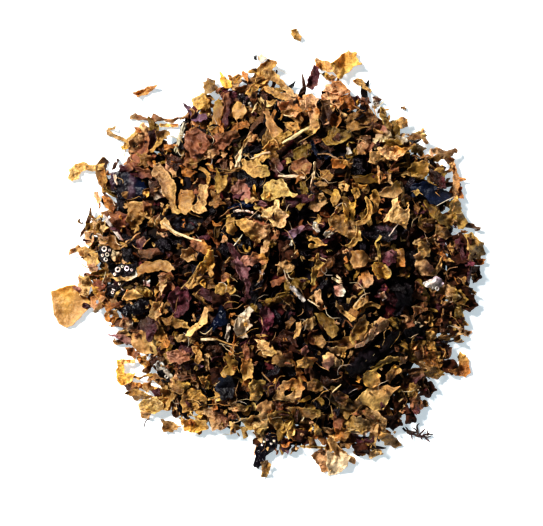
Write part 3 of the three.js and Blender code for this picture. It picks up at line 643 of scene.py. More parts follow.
def add(tree, kind, inputs=None, **settings):
    node = tree.nodes.new(kind)
    for key, value in settings.items():
        setattr(node, key, value)
    for key, value in (inputs or {}).items():
        if isinstance(value, bpy.types.NodeSocket):
            tree.links.new(value, node.inputs[key])
        else:
            node.inputs[key].default_value = value
    return node


def mixed(tree, factor, first, second, blend="MIX"):
    node = add(tree, "ShaderNodeMix", {0: factor, 6: first, 7: second}, data_type="RGBA", blend_type=blend)
    return node.outputs[2]


def ramp(tree, factor, stops):
    node = add(tree, "ShaderNodeValToRGB", {"Fac": factor})
    points = node.color_ramp.elements
    while len(points) < len(stops):
        points.new(0.5)
    for point, (place, value) in zip(points, stops):
        point.position = place
        point.color = (*value, 1) if isinstance(value, tuple) else (value, value, value, 1)
    return node.outputs["Color"]


finishes = {
    "golden": {"dark": (0.30, 0.22, 0.17), "light": (1.3, 1.3, 1.3), "edge": 0.9, "edgeHighlightColour": (1.7, 2.0, 2.5),
        "ridgeHighlight": 0.62, "ridgeHighlightColour": (1.6, 1.8, 2.3), "speck": 0.4, "speckColour": (0.09, 0.03, 0.02),
        "rough": (0.22, 0.44), "bump": 0.8, "gloss": 0.75, "through": 0.3, "throughColour": (1.28, 1.0, 0.66)},
    "calm": {"dark": (0.62, 0.55, 0.48), "light": (1.12, 1.12, 1.12), "edge": 0.75, "edgeHighlightColour": (1.5, 1.65, 1.9),
        "ridgeHighlight": 0.36, "ridgeHighlightColour": (1.4, 1.5, 1.8), "speck": 0.25, "speckColour": (0.16, 0.06, 0.03),
        "rough": (0.3, 0.5), "bump": 0.4, "gloss": 0.55, "through": 0.3, "throughColour": (1.28, 1.0, 0.66)},
    "dark": {"dark": (0.4, 0.4, 0.4), "light": (1.6, 1.5, 1.5), "edge": 0.3, "edgeHighlightColour": (2.2, 2.0, 2.0),
        "ridgeHighlight": 0.16, "ridgeHighlightColour": (6.0, 5.0, 5.0), "speck": 0.35, "speckColour": (0.30, 0.25, 0.20),
        "rough": (0.2, 0.4), "bump": 0.8, "gloss": 0.42, "through": 0.0},
    "glossy": {"dark": (0.6, 0.6, 0.6), "light": (1.4, 1.4, 1.5), "edge": 0.15, "edgeHighlightColour": (2.2, 2.0, 2.0),
        "ridgeHighlight": 0.04, "ridgeHighlightColour": (4.0, 4.0, 5.0), "speck": 0.2, "speckColour": (0.3, 0.28, 0.28),
        "rough": (0.12, 0.22), "bump": 0.35, "gloss": 0.26, "through": 0.0},
    "inky": {"dark": (0.6, 0.6, 0.6), "light": (1.4, 1.4, 1.6), "edge": 0.25, "edgeHighlightColour": (2.5, 2.5, 2.5),
        "ridgeHighlight": 0.04, "ridgeHighlightColour": (4.0, 4.0, 5.0), "speck": 0.3, "speckColour": (0.12, 0.13, 0.2),
        "rough": (0.3, 0.5), "bump": 0.4, "gloss": 0.3, "through": 0.0},
    # deep: the dull finish of the flakes of painted shade and of the dark inside
    "deep": {"dark": (0.4, 0.4, 0.4), "light": (1.5, 1.4, 1.3), "edge": 0.2, "edgeHighlightColour": (2.0, 1.8, 1.8),
        "ridgeHighlight": 0.15, "ridgeHighlightColour": (4.0, 3.0, 2.5), "speck": 0.15, "speckColour": (0.20, 0.12, 0.07),
        "rough": (0.5, 0.75), "bump": 0.5, "gloss": 0.15, "through": 0.0},
    "wine": {"dark": (0.34, 0.26, 0.26), "light": (1.45, 1.35, 1.35), "edge": 0.55, "edgeHighlightColour": (2.0, 2.4, 2.4),
        "ridgeHighlight": 0.45, "ridgeHighlightColour": (2.2, 2.8, 3.0), "speck": 0.35, "speckColour": (0.35, 0.23, 0.16),
        "rough": (0.28, 0.5), "bump": 0.7, "gloss": 0.55, "through": 0.12, "throughColour": (1.3, 1.0, 0.8)},
    "pale": {"dark": (0.5, 0.42, 0.34), "light": (1.1, 1.1, 1.1), "edge": 0.3, "edgeHighlightColour": (1.2, 1.25, 1.35),
        "ridgeHighlight": 0.3, "ridgeHighlightColour": (1.15, 1.2, 1.3), "speck": 0.35, "speckColour": (0.25, 0.13, 0.07),
        "rough": (0.38, 0.6), "bump": 0.6, "gloss": 0.45, "through": 0.12, "throughColour": (1.3, 1.0, 0.8)},
}


# The patterns that all finishes share. Scales are for places in metres.
patterns = {
    "blotch": {"Scale": 430.0, "Detail": 5.0, "Roughness": 0.66, "Distortion": 0.8},
    "fine": {"Scale": 1700.0, "Detail": 5.0, "Roughness": 0.72},
    "cells": {"Scale": 760.0},
    "ridges": {"Scale": 520.0, "Detail": 4.0, "Roughness": 0.55, "Lacunarity": 2.1, "Offset": 0.9, "Gain": 1.6,
               "Distortion": 0.4},
    "blotchStops": (0.30, 0.48, 0.72), "blotchMiddle": (0.95, 0.93, 0.9), "ridgeHighlightStops": (0.55, 0.95),
    "edgeHighlightStops": (0.5, 1.0), "speckStops": (0.09, 0.17), "fineStops": (0.3, 0.7), "fineShades": (0.64, 1.3),
    "ridgeShare": 0.5, "bumpDistance": 0.0006,
}


def frondMaterial(name, look):
    material = bpy.data.materials.new(name)
    tree = nodeTree(material)
    place = add(tree, "ShaderNodeTexCoord").outputs["Object"]
    tint = add(tree, "ShaderNodeAttribute", attribute_name="tint").outputs["Color"]
    rim = add(tree, "ShaderNodeAttribute", attribute_name="rim").outputs["Fac"]
    blotch = add(tree, "ShaderNodeTexNoise", {"Vector": place, **patterns["blotch"]}).outputs["Fac"]
    fine = add(tree, "ShaderNodeTexNoise", {"Vector": place, **patterns["fine"]}).outputs["Fac"]
    cells = add(tree, "ShaderNodeTexVoronoi", {"Vector": place, **patterns["cells"]}).outputs["Distance"]
    ridges = add(tree, "ShaderNodeTexNoise", {"Vector": place, **patterns["ridges"]}, noise_type="RIDGED_MULTIFRACTAL",
                 normalize=False).outputs["Fac"]

    shades = zip(patterns["blotchStops"], (look["dark"], patterns["blotchMiddle"], look["light"]))
    mottled = mixed(tree, 1.0, tint, ramp(tree, blotch, list(shades)), "MULTIPLY")
    # painted highlight: paler lines along the ridges of the fine relief, which the bump raises too
    ridgeHighlights = ramp(tree, ridges, list(zip(patterns["ridgeHighlightStops"], (0.0, look["ridgeHighlight"]))))
    mottled = mixed(tree, ridgeHighlights, mottled, mixed(tree, 1.0, tint, (*look["ridgeHighlightColour"], 1), "MULTIPLY"))
    # painted highlight: the flake's colour made paler towards its edge
    edgeHighlight = mixed(tree, 1.0, tint, (*look["edgeHighlightColour"], 1), "MULTIPLY")
    edges = ramp(tree, rim, list(zip(patterns["edgeHighlightStops"], (0.0, look["edge"]))))
    specks = ramp(tree, cells, list(zip(patterns["speckStops"], (look["speck"], 0.0))))
    dotted = mixed(tree, specks, mixed(tree, edges, mottled, edgeHighlight), (*look["speckColour"], 1))
    grain = ramp(tree, fine, list(zip(patterns["fineStops"], patterns["fineShades"])))
    final = mixed(tree, 1.0, dotted, grain, "MULTIPLY")
    rough = ramp(tree, fine, list(zip(patterns["fineStops"], look["rough"])))

    height = add(tree, "ShaderNodeMath", {0: blotch, 1: fine}, operation="ADD")
    height = add(tree, "ShaderNodeMath", {0: ridges, 1: patterns["ridgeShare"], 2: height.outputs[0]},
                 operation="MULTIPLY_ADD")
    bump = add(tree, "ShaderNodeBump", {"Strength": look["bump"], "Distance": patterns["bumpDistance"],
                                        "Height": height.outputs[0]})
    shader = add(tree, "ShaderNodeBsdfPrincipled", {"Base Color": final, "Roughness": rough, "Normal": bump.outputs[0]})
    shader.inputs["Specular IOR Level"].default_value = look["gloss"]
    surface = shader.outputs[0]
    if look["through"]:
        warm = mixed(tree, 1.0, final, (*look["throughColour"], 1), "MULTIPLY")
        through = add(tree, "ShaderNodeBsdfTranslucent", {"Color": warm}).outputs[0]
        surface = add(tree, "ShaderNodeMixShader", {0: look["through"], 1: surface, 2: through}).outputs[0]
    add(tree, "ShaderNodeOutputMaterial", {"Surface": surface})
    return material


frond = {name: frondMaterial("frond_" + name, look) for name, look in finishes.items()}
print("finishes made")

# The inside, under all the flakes.
# The inside is near black: painted shade that shows in the gaps between the flakes.
packing = {"columns": 48, "rows": 24, "innermost": 0.04, "under": 0.7, "least": 0.55, "floor": 0.5,
           "lumps": (0.8, 0.55, 0.5), "ripples": (0.5, 0.9, 1.1), "colour": (0.012, 0.007, 0.005)}


def insideRise(x, y):
    dx, dy = x - heap["centre"][0], y - heap["centre"][1]
    share = np.hypot(dx, dy) / heapRadius(dx, dy)
    rise = np.interp(share, [0] + heap["insideRings"], [heap["insideTop"]] + heap["insideRises"])
    high, paceX, paceY = packing["lumps"]
    lumps = high * np.sin(dx * paceX) * np.cos(dy * paceY)
    high, paceX, paceY = packing["ripples"]
    lumps = lumps + high * np.sin(dx * paceX + dy * paceY)
    return np.where(share < heap["insideRings"][-1], rise + lumps * np.clip(1 - share, 0, 1), 0.0)


def insideObject(material):
    centre, columns = np.array(heap["centre"]), packing["columns"]
    shares = np.linspace(packing["innermost"], heap["insideRings"][-1], packing["rows"])
    angles = np.linspace(0, 2 * np.pi, columns, endpoint=False)
    s, a = np.meshgrid(shares, angles, indexing="ij")
    far = s * heapRadius(np.cos(a), np.sin(a))
    x, y = centre[0] + far * np.cos(a), centre[1] + far * np.sin(a)
    z = np.maximum(insideRise(x, y) - packing["under"], packing["least"])
    z[-1] = packing["floor"]
    ends = [[*centre, heap["insideTop"] - packing["under"]], [*centre, packing["floor"]]]
    points = np.vstack([np.stack([x, y, z], -1).reshape(-1, 3), ends])
    top, under = len(points) - 2, len(points) - 1
    k = np.arange(columns)
    after = (k + 1) % columns
    faces = [np.stack([0 * k + top, k, after], 1)]
    for row in range(len(shares) - 1):
        inner, outer = row * columns, (row + 1) * columns
        faces.append(np.stack([inner + k, outer + k, outer + after], 1))
        faces.append(np.stack([inner + k, outer + after, inner + after], 1))
    last = (len(shares) - 1) * columns
    faces.append(np.stack([0 * k + under, last + after, last + k], 1))
    colours = np.tile(packing["colour"], (len(points), 1))
    return meshObject("packed_inside", points, np.concatenate(faces), colours, np.zeros(len(points)), material)


# Flakes laid by rule: under the heap, on its inside, and over it. far is the share of the radius they reach.
loose = {
    "under": {"count": 150, "length": (4, 9), "far": (0.0, 0.97), "grain": 0.7,
              "rest": {"drop": 0.0, "lean": 0.08, "tries": 3, "wander": 0.5},
              "tints": ["goldBrown", "tan", "gold", "brown", "umber", "olive", "orange"]},
    # bed: mostly umber and black flakes on the inside, painted shade for the gaps between the top flakes
    "bed": {"count": 540, "length": (3.5, 8), "far": (0.0, 0.91), "grain": 0.75,
            "rest": {"drop": 4.6, "lean": 0.5, "tries": 3, "wander": 0.5},
            "tints": ["umber", "black", "black", "umber", "burgundy", "brown", "black", "umber"]},
    "rim": {"count": 330, "length": (3, 7.5), "far": (0.72, 0.95), "grain": 0.45,
            "rest": {"drop": 2.6, "lean": 0.3, "tries": 3, "wander": 0.5},
            "tints": ["gold", "goldBrown", "tan", "gold", "paleGold", "olive", "pinkTan", "orange", "brown",
                      "goldBrown"]},
    "upper": {"count": 380, "length": (3.5, 8.5), "far": (0.0, 0.88), "grain": 0.52,
              "rest": {"drop": 2.2, "lean": 0.5, "tries": 4, "wander": 0.5},
              "tints": ["umber", "black", "brown", "goldBrown", "burgundy", "umber", "olive", "gold", "rust", "black",
                        "darkOlive", "brown", "tan", "umber", "black", "orange", "goldBrown", "black"]},
    "fines": {"count": 330, "length": (1.0, 3.0), "far": (0.0, 0.94), "grain": 0.4,
              "rest": {"drop": 0.3, "lean": 0.6, "tries": 9, "wander": 1.6},
              "tints": ["gold", "tan", "goldBrown", "brown", "orange", "umber", "paleOlive", "rust", "yellow",
                        "burgundy"]},
}
looseRest = {"turning": 180, "settle": 0.8, "steepest": 1.7, "upright": False}
looseShape = {
    "corners": (5, 9), "uneven": (-0.3, 0.3), "reaches": [1, 1, 0.9, 0.75, 0.6, 0.5], "flakeWidth": (0.45, 0.85),
    "strapShare": 0.52, "strapLength": 1.3, "strapWidth": (0.16, 0.32), "strapBends": [10, 30, 80, -60, 140],
    "bendShare": (0.5, 1.2), "astray": (-1.2, 1.2), "folds": [0, 1, 1, 2], "foldSlope": 0.8,
    "coils": [0, 0, 60, -70, 120], "small": 3, "smallThick": 0.22, "stride": 0.38,
}
goldenAngle = math.pi * (3 - math.sqrt(5))


def looseFlake(x, y, heading, length, tint, common):
    count = draw.randint(*looseShape["corners"])
    corners = [((k + between(*looseShape["uneven"])) * 360 / count, draw.choice(looseShape["reaches"]))
               for k in range(count)]
    width = length * between(*looseShape["flakeWidth"])
    rim = [(reach * math.cos(math.radians(turn)) * length / 2, reach * math.sin(math.radians(turn)) * width / 2)
           for turn, reach in corners]
    return flake(rim, x, y, heading, length, width, tint, **common)


def looseStrap(x, y, heading, length, tint, common):
    bend = draw.choice(looseShape["strapBends"])
    width = length * between(*looseShape["strapWidth"])
    return strap(x, y, heading, length * looseShape["strapLength"], width, tint,
                 bend=bend * between(*looseShape["bendShare"]), **common)


def scattered(name):
    rule = loose[name]
    count = rule["count"]
    stride = next(n for n in range(int(count * looseShape["stride"]), count) if math.gcd(n, count) == 1)
    made = []
    for i in range(count):
        index = (i * stride) % count
        angle = index * goldenAngle
        low, high = rule["far"]
        far = math.sqrt(low * low + (high * high - low * low) * (index + 0.5) / count) * radiusAt(angle)
        x = heap["centre"][0] + far * math.cos(angle) + between(*looseShape["astray"])
        y = heap["centre"][1] + far * math.sin(angle) + between(*looseShape["astray"])
        short, long = rule["length"]
        length = short + (long - short) * draw.random() ** 1.5  # more short ones than long ones
        tint = draw.choice(rule["tints"])
        heading = between(0, 360)
        if isClear(x, y, length / 3):
            continue
        common = {"grain": min(rule["grain"], length / 5), "ragged": min(0.45, length / 14),
                  "folds": draw.choice(looseShape["folds"]), "foldSlope": looseShape["foldSlope"],
                  "coil": draw.choice(looseShape["coils"]), "crumple": min(1.1, length / 5),
                  "bites": 1 if length > looseShape["small"] else 0}
        kind = looseStrap if draw.random() < looseShape["strapShare"] else looseFlake
        p = kind(x, y, heading, length, tint, common)
        if length < looseShape["small"]:
            p["thick"] = looseShape["smallThick"]
        made.append(lay(p, **looseRest, **rule["rest"]))
    print(name, "laid", len(made))
    return made


underFlakes = scattered("under")
grid = (np.arange(mapSide) + 0.5 - mapSide / 2) * cell
gridX, gridY = np.meshgrid(grid, grid)
heights = np.maximum(heights, insideRise(gridX, gridY))
bedFlakes = scattered("bed")
rimFlakes = scattered("rim")
upperFlakes = scattered("upper")

# The flakes on top, as they lie in the photograph: tint, first corner and the other corners, all in steps.
goldenFlakes = [
    # The first ones, umber and black, are painted shade: dark flakes where the gaps of the heap are deep in shade.
    cut("umber", 116, -162, [14, 2, 20, -10, 10, -16, 0, -12], **paintedShadeLook),
    cut("umber", 28, -176, [14, 0, 18, -12, 8, -18, -1, -11], **paintedShadeLook),
    cut("umber", 176, -106, [12, 0, 18, -10, 10, -16, 0, -12], **paintedShadeLook),
    cut("umber", 152, -130, [12, 2, 18, -8, 10, -16, 0, -12], **paintedShadeLook),
    cut("umber", 194, -42, [12, 2, 18, -10, 10, -18, 1, -12], **paintedShadeLook),
    cut("umber", 202, -10, [12, -2, 14, -14, 4, -20], **paintedShadeLook),
    cut("umber", 84, -190, [14, 0, 18, -10, 6, -16], **paintedShadeLook),
    cut("umber", 136, -154, [12, -2, 14, -16, 2, -18], **paintedShadeLook),
    cut("umber", 176, 18, [18, 4, 30, -4, 26, -26, 8, -30], **paintedShadeLook),
    cut("umber", 178, -8, [22, 0, 32, -10, 24, -24, 4, -22], **paintedShadeLook),
    cut("umber", 172, -52, [18, 2, 22, -16, 6, -24], **paintedShadeLook),
    cut("umber", 194, -32, [12, -2, 12, -20, 2, -24], **paintedShadeLook),
    cut("umber", 182, -66, [16, 2, 16, -14, 2, -16], **paintedShadeLook),
    cut("black", 77, -114, [15, 16, 27, 23, 35, 12, 17, -4, 5, -10], **paintedShadeLook),
    cut("black", 105, -92, [19, 14, 27, 16, 31, 0, 12, -12], **paintedShadeLook),
    cut("black", 135, -77, [15, 8, 25, 5, 21, -7, 5, -14], **paintedShadeLook),
    cut("umber", 124, -142, [16, -2, 20, -18, 6, -22], **paintedShadeLook),
    cut("umber", 8, 14, [16, 0, 20, -18, 4, -22], **paintedShadeLook),
    cut("umber", -58, -36, [20, -2, 24, -18, 4, -20], **paintedShadeLook),
    cut("umber", -58, -114, [22, 2, 24, -8, 2, -16], **paintedShadeLook),
    cut("umber", 0, -84, [22, -2, 32, -14, 16, -14, 2, -8], **paintedShadeLook),
    cut("black", 127, -36, [17, 2, 17, -16, 1, -18], **paintedShadeLook),
    cut("umber", 88, -192, [16, 0, 14, -10, 2, -10], **paintedShadeLook),
    cut("rust", -140, 114, [9, 6, 10, 18, 15, 19, 20, 13, 22, 0, 19, -12, 14, -20, 10, -25, 2, -16, -1, -10],
        tip="pinkTan", **crumpled),
    cut("burgundy", -121, 124, [7, 2, 10, -4, 8, -12, 3, -20, -1, -20, 2, -10]),
    cut("gold", -113, 124, [11, 2, 15, -4, 9, -8, 5, -15, -3, -22, -7, -20, 1, -10], tip="goldBrown"),
    cut("goldBrown", -133, 102, [11, -1, 17, -4, 15, -12, 11, -16, 5, -12]),
    cut("orange", -105, 110, [12, 1, 11, -4, 1, -6]),
    band("paleGold", -110, 130, -91, 130, 3),
    cut("rust", -83, 101, [11, 1, 15, -7, 11, -15, 3, -17, -3, -11], blot="gold", **crumpled),
    cut("orange", -88, 89, [10, -5, 18, -7, 10, -13, 2, -11]),
    cut("tan", -115, 91, [7, 3, 13, -7, 22, -17, 24, -27, 23, -42, 27, -51, 19, -50, 15, -37, 9, -30, 5, -17, -2,
        -9], tip="gold", folds=1),
    cut("umber", -104, 100, [14, -2, 20, -10, 12, -18, 4, -12]),
    cut("black", -88, 130, [6, 0, 4, -26, -2, -24]),
    cut("goldBrown", -82, 132, [6, -2, 6, -20, 0, -24]),
    cut("gold", -77, 157, [5, 2, 10, 6, 17, -1, 22, -7, 17, -12, 7, -12, 0, -7], blot="umber", **crumpled),
    cut("olive", -66, 174, [6, 4, 12, 1, 16, -6, 10, -12, 2, -14, 1, -7], blot="lilac", **crumpled),
    cut("black", -61, 171, [6, 1, 7, -5, 2, -7]),
    cut("yellow", -49, 184, [3, -2, 7, -7, 13, -10, 13, -16, 7, -18, 2, -14, 0, -8], blot="olive"),
    cut("tan", -40, 178, [10, 4, 16, 2, 12, -6, 8, -14, 4, -12], tip="paleGold"),
    cut("goldBrown", -36, 166, [12, 4, 20, 6, 24, 2, 18, -4, 8, -5]),
    cut("gold", -6, 170, [8, -2, 20, -8, 30, -6, 36, -10, 34, -16, 24, -16, 14, -13, 4, -8], tip="pinkTan"),
    cut("amber", -28, 181, [12, 5, 22, 11, 28, 15, 36, 14, 41, 11, 36, 9, 33, 1, 32, -7, 24, -9, 18, -15, 10, -21, 4,
        -20, 10, -13, 15, -7, 18, 1, 10, 1], tip="goldBrown", folds=2),
    cut("cream", -11, 200, [5, 2, 11, -3, 5, -6, 1, -4]),
    cut("black", -15, 200, [4, 1, 4, -4, 1, -4]),
    cut("pinkTan", 8, 154, [14, -1, 22, -4, 26, -12, 20, -18, 8, -14, 2, -7], tip="orange", **crumpled),
    cut("goldBrown", 12, 142, [12, 4, 20, 0, 24, -8, 20, -14, 10, -6]),
    thread("cream", 14, 140, 24, 137, 1.2, bend=20),
    cut("orange", 29, 158, [6, -2, 15, -14, 9, -16, 3, -8]),
    cut("pinkTan", 36, 158, [8, 1, 16, -2, 12, -8, 16, -16, 17, -32, 10, -38, 4, -34, 5, -24, 1, -12], tip="gold",
        folds=1),
    cut("pinkTan", 52, 162, [12, 0, 22, -4, 24, -10, 18, -16, 13, -12, 6, -6], tip="orange"),
    cut("pinkTan", 65, 174, [8, 2, 14, -5, 19, -11, 10, -16, 0, -12, -11, -10, -7, -3], tip="orange", **crumpled),
    cut("amber", 48, 202, [3, -6, 11, -7, 19, -10, 21, -18, 14, -19, 6, -16, 1, -14, -1, -8], tip="pinkTan"),
    cut("amber", 62, 192, [9, 7, 20, 14, 27, 12, 28, 4, 32, 0, 24, -4, 16, -10, 11, -17, 5, -10], blot="pinkTan",
        folds=1),
    thread("cream", 52, 182, 63, 177, 1.4),
    cut("orange", 72, 156, [10, 6, 16, 0, 18, -10, 12, -12, 6, -8, 2, -12], blot="rust"),
    cut("burgundy", 84, 158, [6, 2, 10, -2, 8, -8, 4, -10]),
    cut("rust", 94, 158, [8, 0, 10, -6, 2, -10, -2, -6]),
    cut("gold", 112, 150, [6, -4, 8, -14, 14, -20, 12, -26, 6, -24, 0, -12], tip="goldBrown"),
    cut("umber", 105, 159, [5, 1, 10, -3, 7, -9, 1, -9], blot="greyCream"),
    cut("greyCream", 106, 152, [5, 1, 6, -4, 1, -5]),
    cut("brown", 92, 130, [14, 3, 22, 2, 20, -4, 8, -6, 0, -6], tip="rust"),
    cut("goldBrown", 77, 134, [5, 6, 13, 10, 23, 9, 31, 7, 35, 0, 27, -6, 15, -10, 5, -12, 1, -6], tip="brown",
        folds=2),
    cut("umber", 134, 111, [8, 4, 22, 5, 16, 1, 8, -3]),
    cut("olive", 122, 116, [8, 4, 18, 1, 19, -3, 12, -7, 2, -6], tip="greyCream", **smooth),
    cut("olive", 143, 108, [9, 2, 17, -1, 11, -8, 1, -6], blot="umber"),
    cut("goldBrown", -54, 153, [5, 3, 10, -5, 8, -15, 5, -25, 3, -33, -3, -31, -2, -17], tip="olive", **smooth),
    cut("orange", -48, 136, [4, -4, 4, -14, -2, -18, -5, -14]),
    cut("tan", -36, 149, [6, 4, 12, 1, 15, -5, 11, -12, 5, -15, -1, -10], **smooth),
    cut("burgundy", -46, 164, [14, 0, 18, -8, 10, -14, 4, -8], **crumpled),
    cut("black", -32, 158, [7, 4, 14, -2, 18, -10, 12, -12, 4, -6], blot="lilac", **crumpled),
    *dots([2.2, 0.3, 2.5, -1.8, 0.6, -2.2], (-28.2, 157), (-25.2, 154), (-23.2, 158), (-20.2, 152),
          (-26.2, 150), (-29.2, 161), (-18.2, 149)),
    thread("cream", -16, 141, -10, 152, 1.5),
    cut("tan", -4, 142, [5, 2, 8, -6, 15, -16, 20, -20, 12, -28, 6, -22, 2, -12], **smooth),
    cut("gold", 15, 132, [9, 0, 15, 0, 17, -8, 9, -10, 3, -6], blot="umber"),
    cut("gold", -6, 104, [8, 9, 19, 17, 26, 19, 30, 16, 22, 10, 28, 8, 20, 2, 12, -4, 4, -3], tip="paleOlive",
        **smooth),
    cut("rust", -80, 126, [8, 2, 16, -4, 20, -12, 12, -22, 2, -18], blot="umber", **crumpled),
    cut("rust", -52, 120, [10, 2, 20, 6, 24, -2, 16, -8, 6, -16, -2, -12], tip="brown"),
    cut("pinkTan", -70, 112, [8, -4, 16, -12, 8, -16, 2, -10], tip="orange"),
    cut("rose", -77, 104, [7, 3, 13, -2, 9, -10, 2, -8], blot="white", **crumpled),
    cut("umber", -68, 124, [14, -6, 20, -16, 12, -22, 2, -12], blot="rust"),
    cut("paleGold", -40, 84, [3, 9, 7, 4, 4, 0]),
    cut("gold", -14, 98, [12, 6, 16, -1, 10, -7, 2, -6], blot="olive"),
    cut("olive", 26, 104, [12, 8, 18, 4, 16, -6, 6, -12, -2, -8], blot="umber"),
    cut("rust", 22, 92, [14, 4, 22, -2, 20, -12, 10, -14, 2, -10], blot="tan"),
    cut("brown", 4, 96, [8, -2, 12, -12, 4, -18, -2, -10], tip="mauve"),
    band("navy", 43, 113, 52, 94, 4, bend=30),
    cut("navy", 50, 101, [10, 3, 16, -3, 8, -7]),
    thread("tan", 50, 101, 73, 92, 2, bend=-80),
    band("cream", 47, 93, 43, 65, 2.2, bend=-12),
    cut("olive", 62, 124, [4, 5, 11, 0, 20, 0, 22, -7, 14, -12, 6, -16, -4, -16, -8, -10], tip="darkOlive",
        blot="paleOlive"),
    cut("tan", 89, 109, [4, 1, 8, -7, 9, -10, 0, -10], **smooth),
    cut("greyCream", 78, 108, [4, 2, 6, -8, 0, -10]),
    cut("brown", 90, 119, [13, 0, 14, -8, 6, -7]),
    cut("tan", 102, 102, [10, 2, 12, -6, 6, -14, -2, -10], blot="goldBrown"),
    cut("orange", 62, 94, [16, 0, 21, -3, 13, -9, 2, -9], tip="gold", **smooth),
    cut("goldBrown", 46, 70, [6, 3, 13, 0, 10, -5, 2, -3], tip="tan"),
    thread("tan", 46, 70, 59, 67, 1.4, bend=80),
    cut("goldBrown", 50, 84, [10, 0, 16, -6, 12, -12, 3, -10], blot="gold", **crumpled),
    thread("gold", 52, 82, 62, 73, 1.2),
    thread("gold", 61, 83, 52, 74, 1.2),
    cut("darkOlive", 82, 79, [10, -1, 22, 1, 30, -1, 30, -8, 18, -9, 5, -8], tip="olive", **smooth),
    cut("goldBrown", 112, 82, [10, -2, 13, -12, 1, -12], tip="tan"),
    band("tan", 110, 88, 111, 70, 2.2),
    cut("tan", 110, 61, [8, 5, 15, 9, 19, 13, 24, 9, 24, 1, 20, -3, 16, -5, 8, -4, 2, -3], tip="olive", **smooth),
    band("darkOlive", 133, 72, 136, 47, 4),
    cut("gold", 65, 64, [5, 0, 7, -8, 3, -15, -1, -18, -3, -10], tip="yellow"),
    cut("goldBrown", 64, 38, [12, 1, 20, -6, 25, -16, 28, -24, 20, -24, 13, -22, 6, -16, -2, -10], blot="umber",
        tip="tan"),
    cut("yellow", 73, 57, [5, 1, 9, -8, 14, -3, 13, 7, 17, 9, 16, -1, 14, -11, 13, -23, 9, -25, 8, -15, 6, -25, 3,
        -27, 2, -15, 1, -6], tip="gold", folds=1),
    cut("paleGold", 70, 71, [5, 2, 11, -3, 9, -9, 3, -9, 0, -5], hole=0.35, **crumpled),
    cut("gold", 83, 71, [6, 0, 11, -3, 17, -2, 13, -6, 6, -7, 1, -5], tip="yellow"),
    cut("gold", 87, 29, [4, -3, 6, -15, 1, -19, -5, -24, -10, -21, -3, -15, 0, -8], tip="paleGold"),
    band("gold", 102, 54, 89, 28, 5, bend=-140, tip="goldBrown", roll=0.4),
    cut("rust", 90, 30, [4, -1, 6, -6, 2, -8, -1, -5]),
    cut("paleGold", 123, 53, [6, 4, 8, -6, 14, -8, 18, -2, 19, -14, 16, -21, 17, -30, 11, -25, 4, -22, -8, -22, -6,
        -13, -1, -9], blot="gold", blots=0.25, folds=0, crumple=0.7),
    cut("tan", 83, 2, [6, 2, 13, 1, 17, -5, 16, -12, 10, -15, 2, -16, -1, -10], tip="goldBrown", roll=-1.2,
        **smooth),
    band("umber", 105, 6, 105, -6, 2),
    band("paleOlive", 109.5, 10, 110.5, -8, 3),
    cut("goldBrown", 128, 5, [8, 0, 9, -18, 0, -18, 1, -9], tip="orange", **smooth),
    cut("brown", 59, -8, [6, 5, 8, 0, 4, -6, -2, -11]),
    thread("cream", 52, -3, 59, -8, 0.8),
    cut("yellow", 102, -11, [6, 4, 12, 3, 15, -1, 20, -3, 22, -10, 16, -14, 8, -14, 4, -10, 1, -5], tip="paleOlive",
        **crumpled),
    cut("pinkTan", 87, -31, [3, 7, 5, 13, 11, 15, 17, 10, 17, 2, 13, -3, 7, -3, 2, -5], tip="orange", **crumpled),
    band("cream", 63, -24, 74, -29, 2.5, bend=20),
    band("cream", 68, -21, 73, -27, 1.6),
    cut("rose", 65, -32, [9, 2, 12, -5, 11, -10, 4, -11, 1, -6], tip="greyCream", **smooth),
    cut("crimson", 113, -31, [4, 2, 7, -3, 3, -7, 0, -5]),
    cut("pinkTan", 110, -39, [6, 2, 9, -5, 4, -8], blot="white"),
    cut("gold", 84, -54, [2, 5, 8, 10, 14, 12, 18, 16, 15, 6, 10, 2, 4, -2], blot="goldBrown", roll=-0.6),
    thread("cream", 84, -51, 101, -38, 1.2, bend=-40),
    cut("tan", 66, -40, [3, -9, 10, -14, 21, -24, 16, -28, 6, -18, 1, -12], tip="gold"),
    cut("goldBrown", 76, -54, [8, 4, 14, -4, 12, -14, 5, -10]),
    cut("gold", -80, 63, [5, 1, 7, -8, 4, -19, -1, -24, -8, -22, -10, -9, -7, 1], blot="goldBrown", **smooth),
    cut("tan", -69, 70, [9, 0, 9, -16, 7, -22, 11, -28, 1, -30, -9, -27, -2, -19, -1, -11], folds=1),
    cut("goldBrown", -58, 64, [10, -3, 16, -15, 5, -20, -1, -15], blot="orange", **crumpled),
    band("goldBrown", -48, 80, -26, 85, 3.2),
    cut("olive", -51, 86, [3, -4, 4, -8, 11, -8, 10, -16, 7, -22, 1, -27, -2, -20, -1, -10], tip="gold"),
    cut("gold", -26, 94, [16, 0, 26, -8, 28, -17, 18, -19, 8, -17, 2, -10], tip="paleOlive", blot="goldBrown"),
    cut("paleOlive", -4, 70, [8, 4, 18, 4, 23, 0, 24, -6, 28, -9, 33, -11, 29, -14, 21, -13, 13, -15, 6, -18, -2,
        -15, -5, -12, 0, -8, -1, -4], tip="paleGold", blots=0.25, folds=0, crumple=0.8),
    cut("burgundy", -16, 54, [10, -1, 17, -6, 12, -8, 2, -5], tip="mauve"),
    cut("gold", -42, 38, [6, 3, 10, 2, 9, -6, 12, -14, 8, -21, 2, -18, 0, -10], blot="goldBrown", **crumpled),
    cut("paleGold", 7, 54, [4, -1, 4, -8, 9, -12, 13, -16, 11, -20, 12, -26, 6, -28, -2, -28, -4, -22, -13, -17, -15,
        -11, -6, -9, -2, -5], blot="gold", folds=1),
    cut("gold", -31, 33, [9, 2, 19, -1, 25, -5, 28, -8, 31, -15, 25, -18, 22, -22, 15, -20, 9, -15, 4, -9, 0, -5],
        tip="pinkTan", blots=0.3, folds=1),
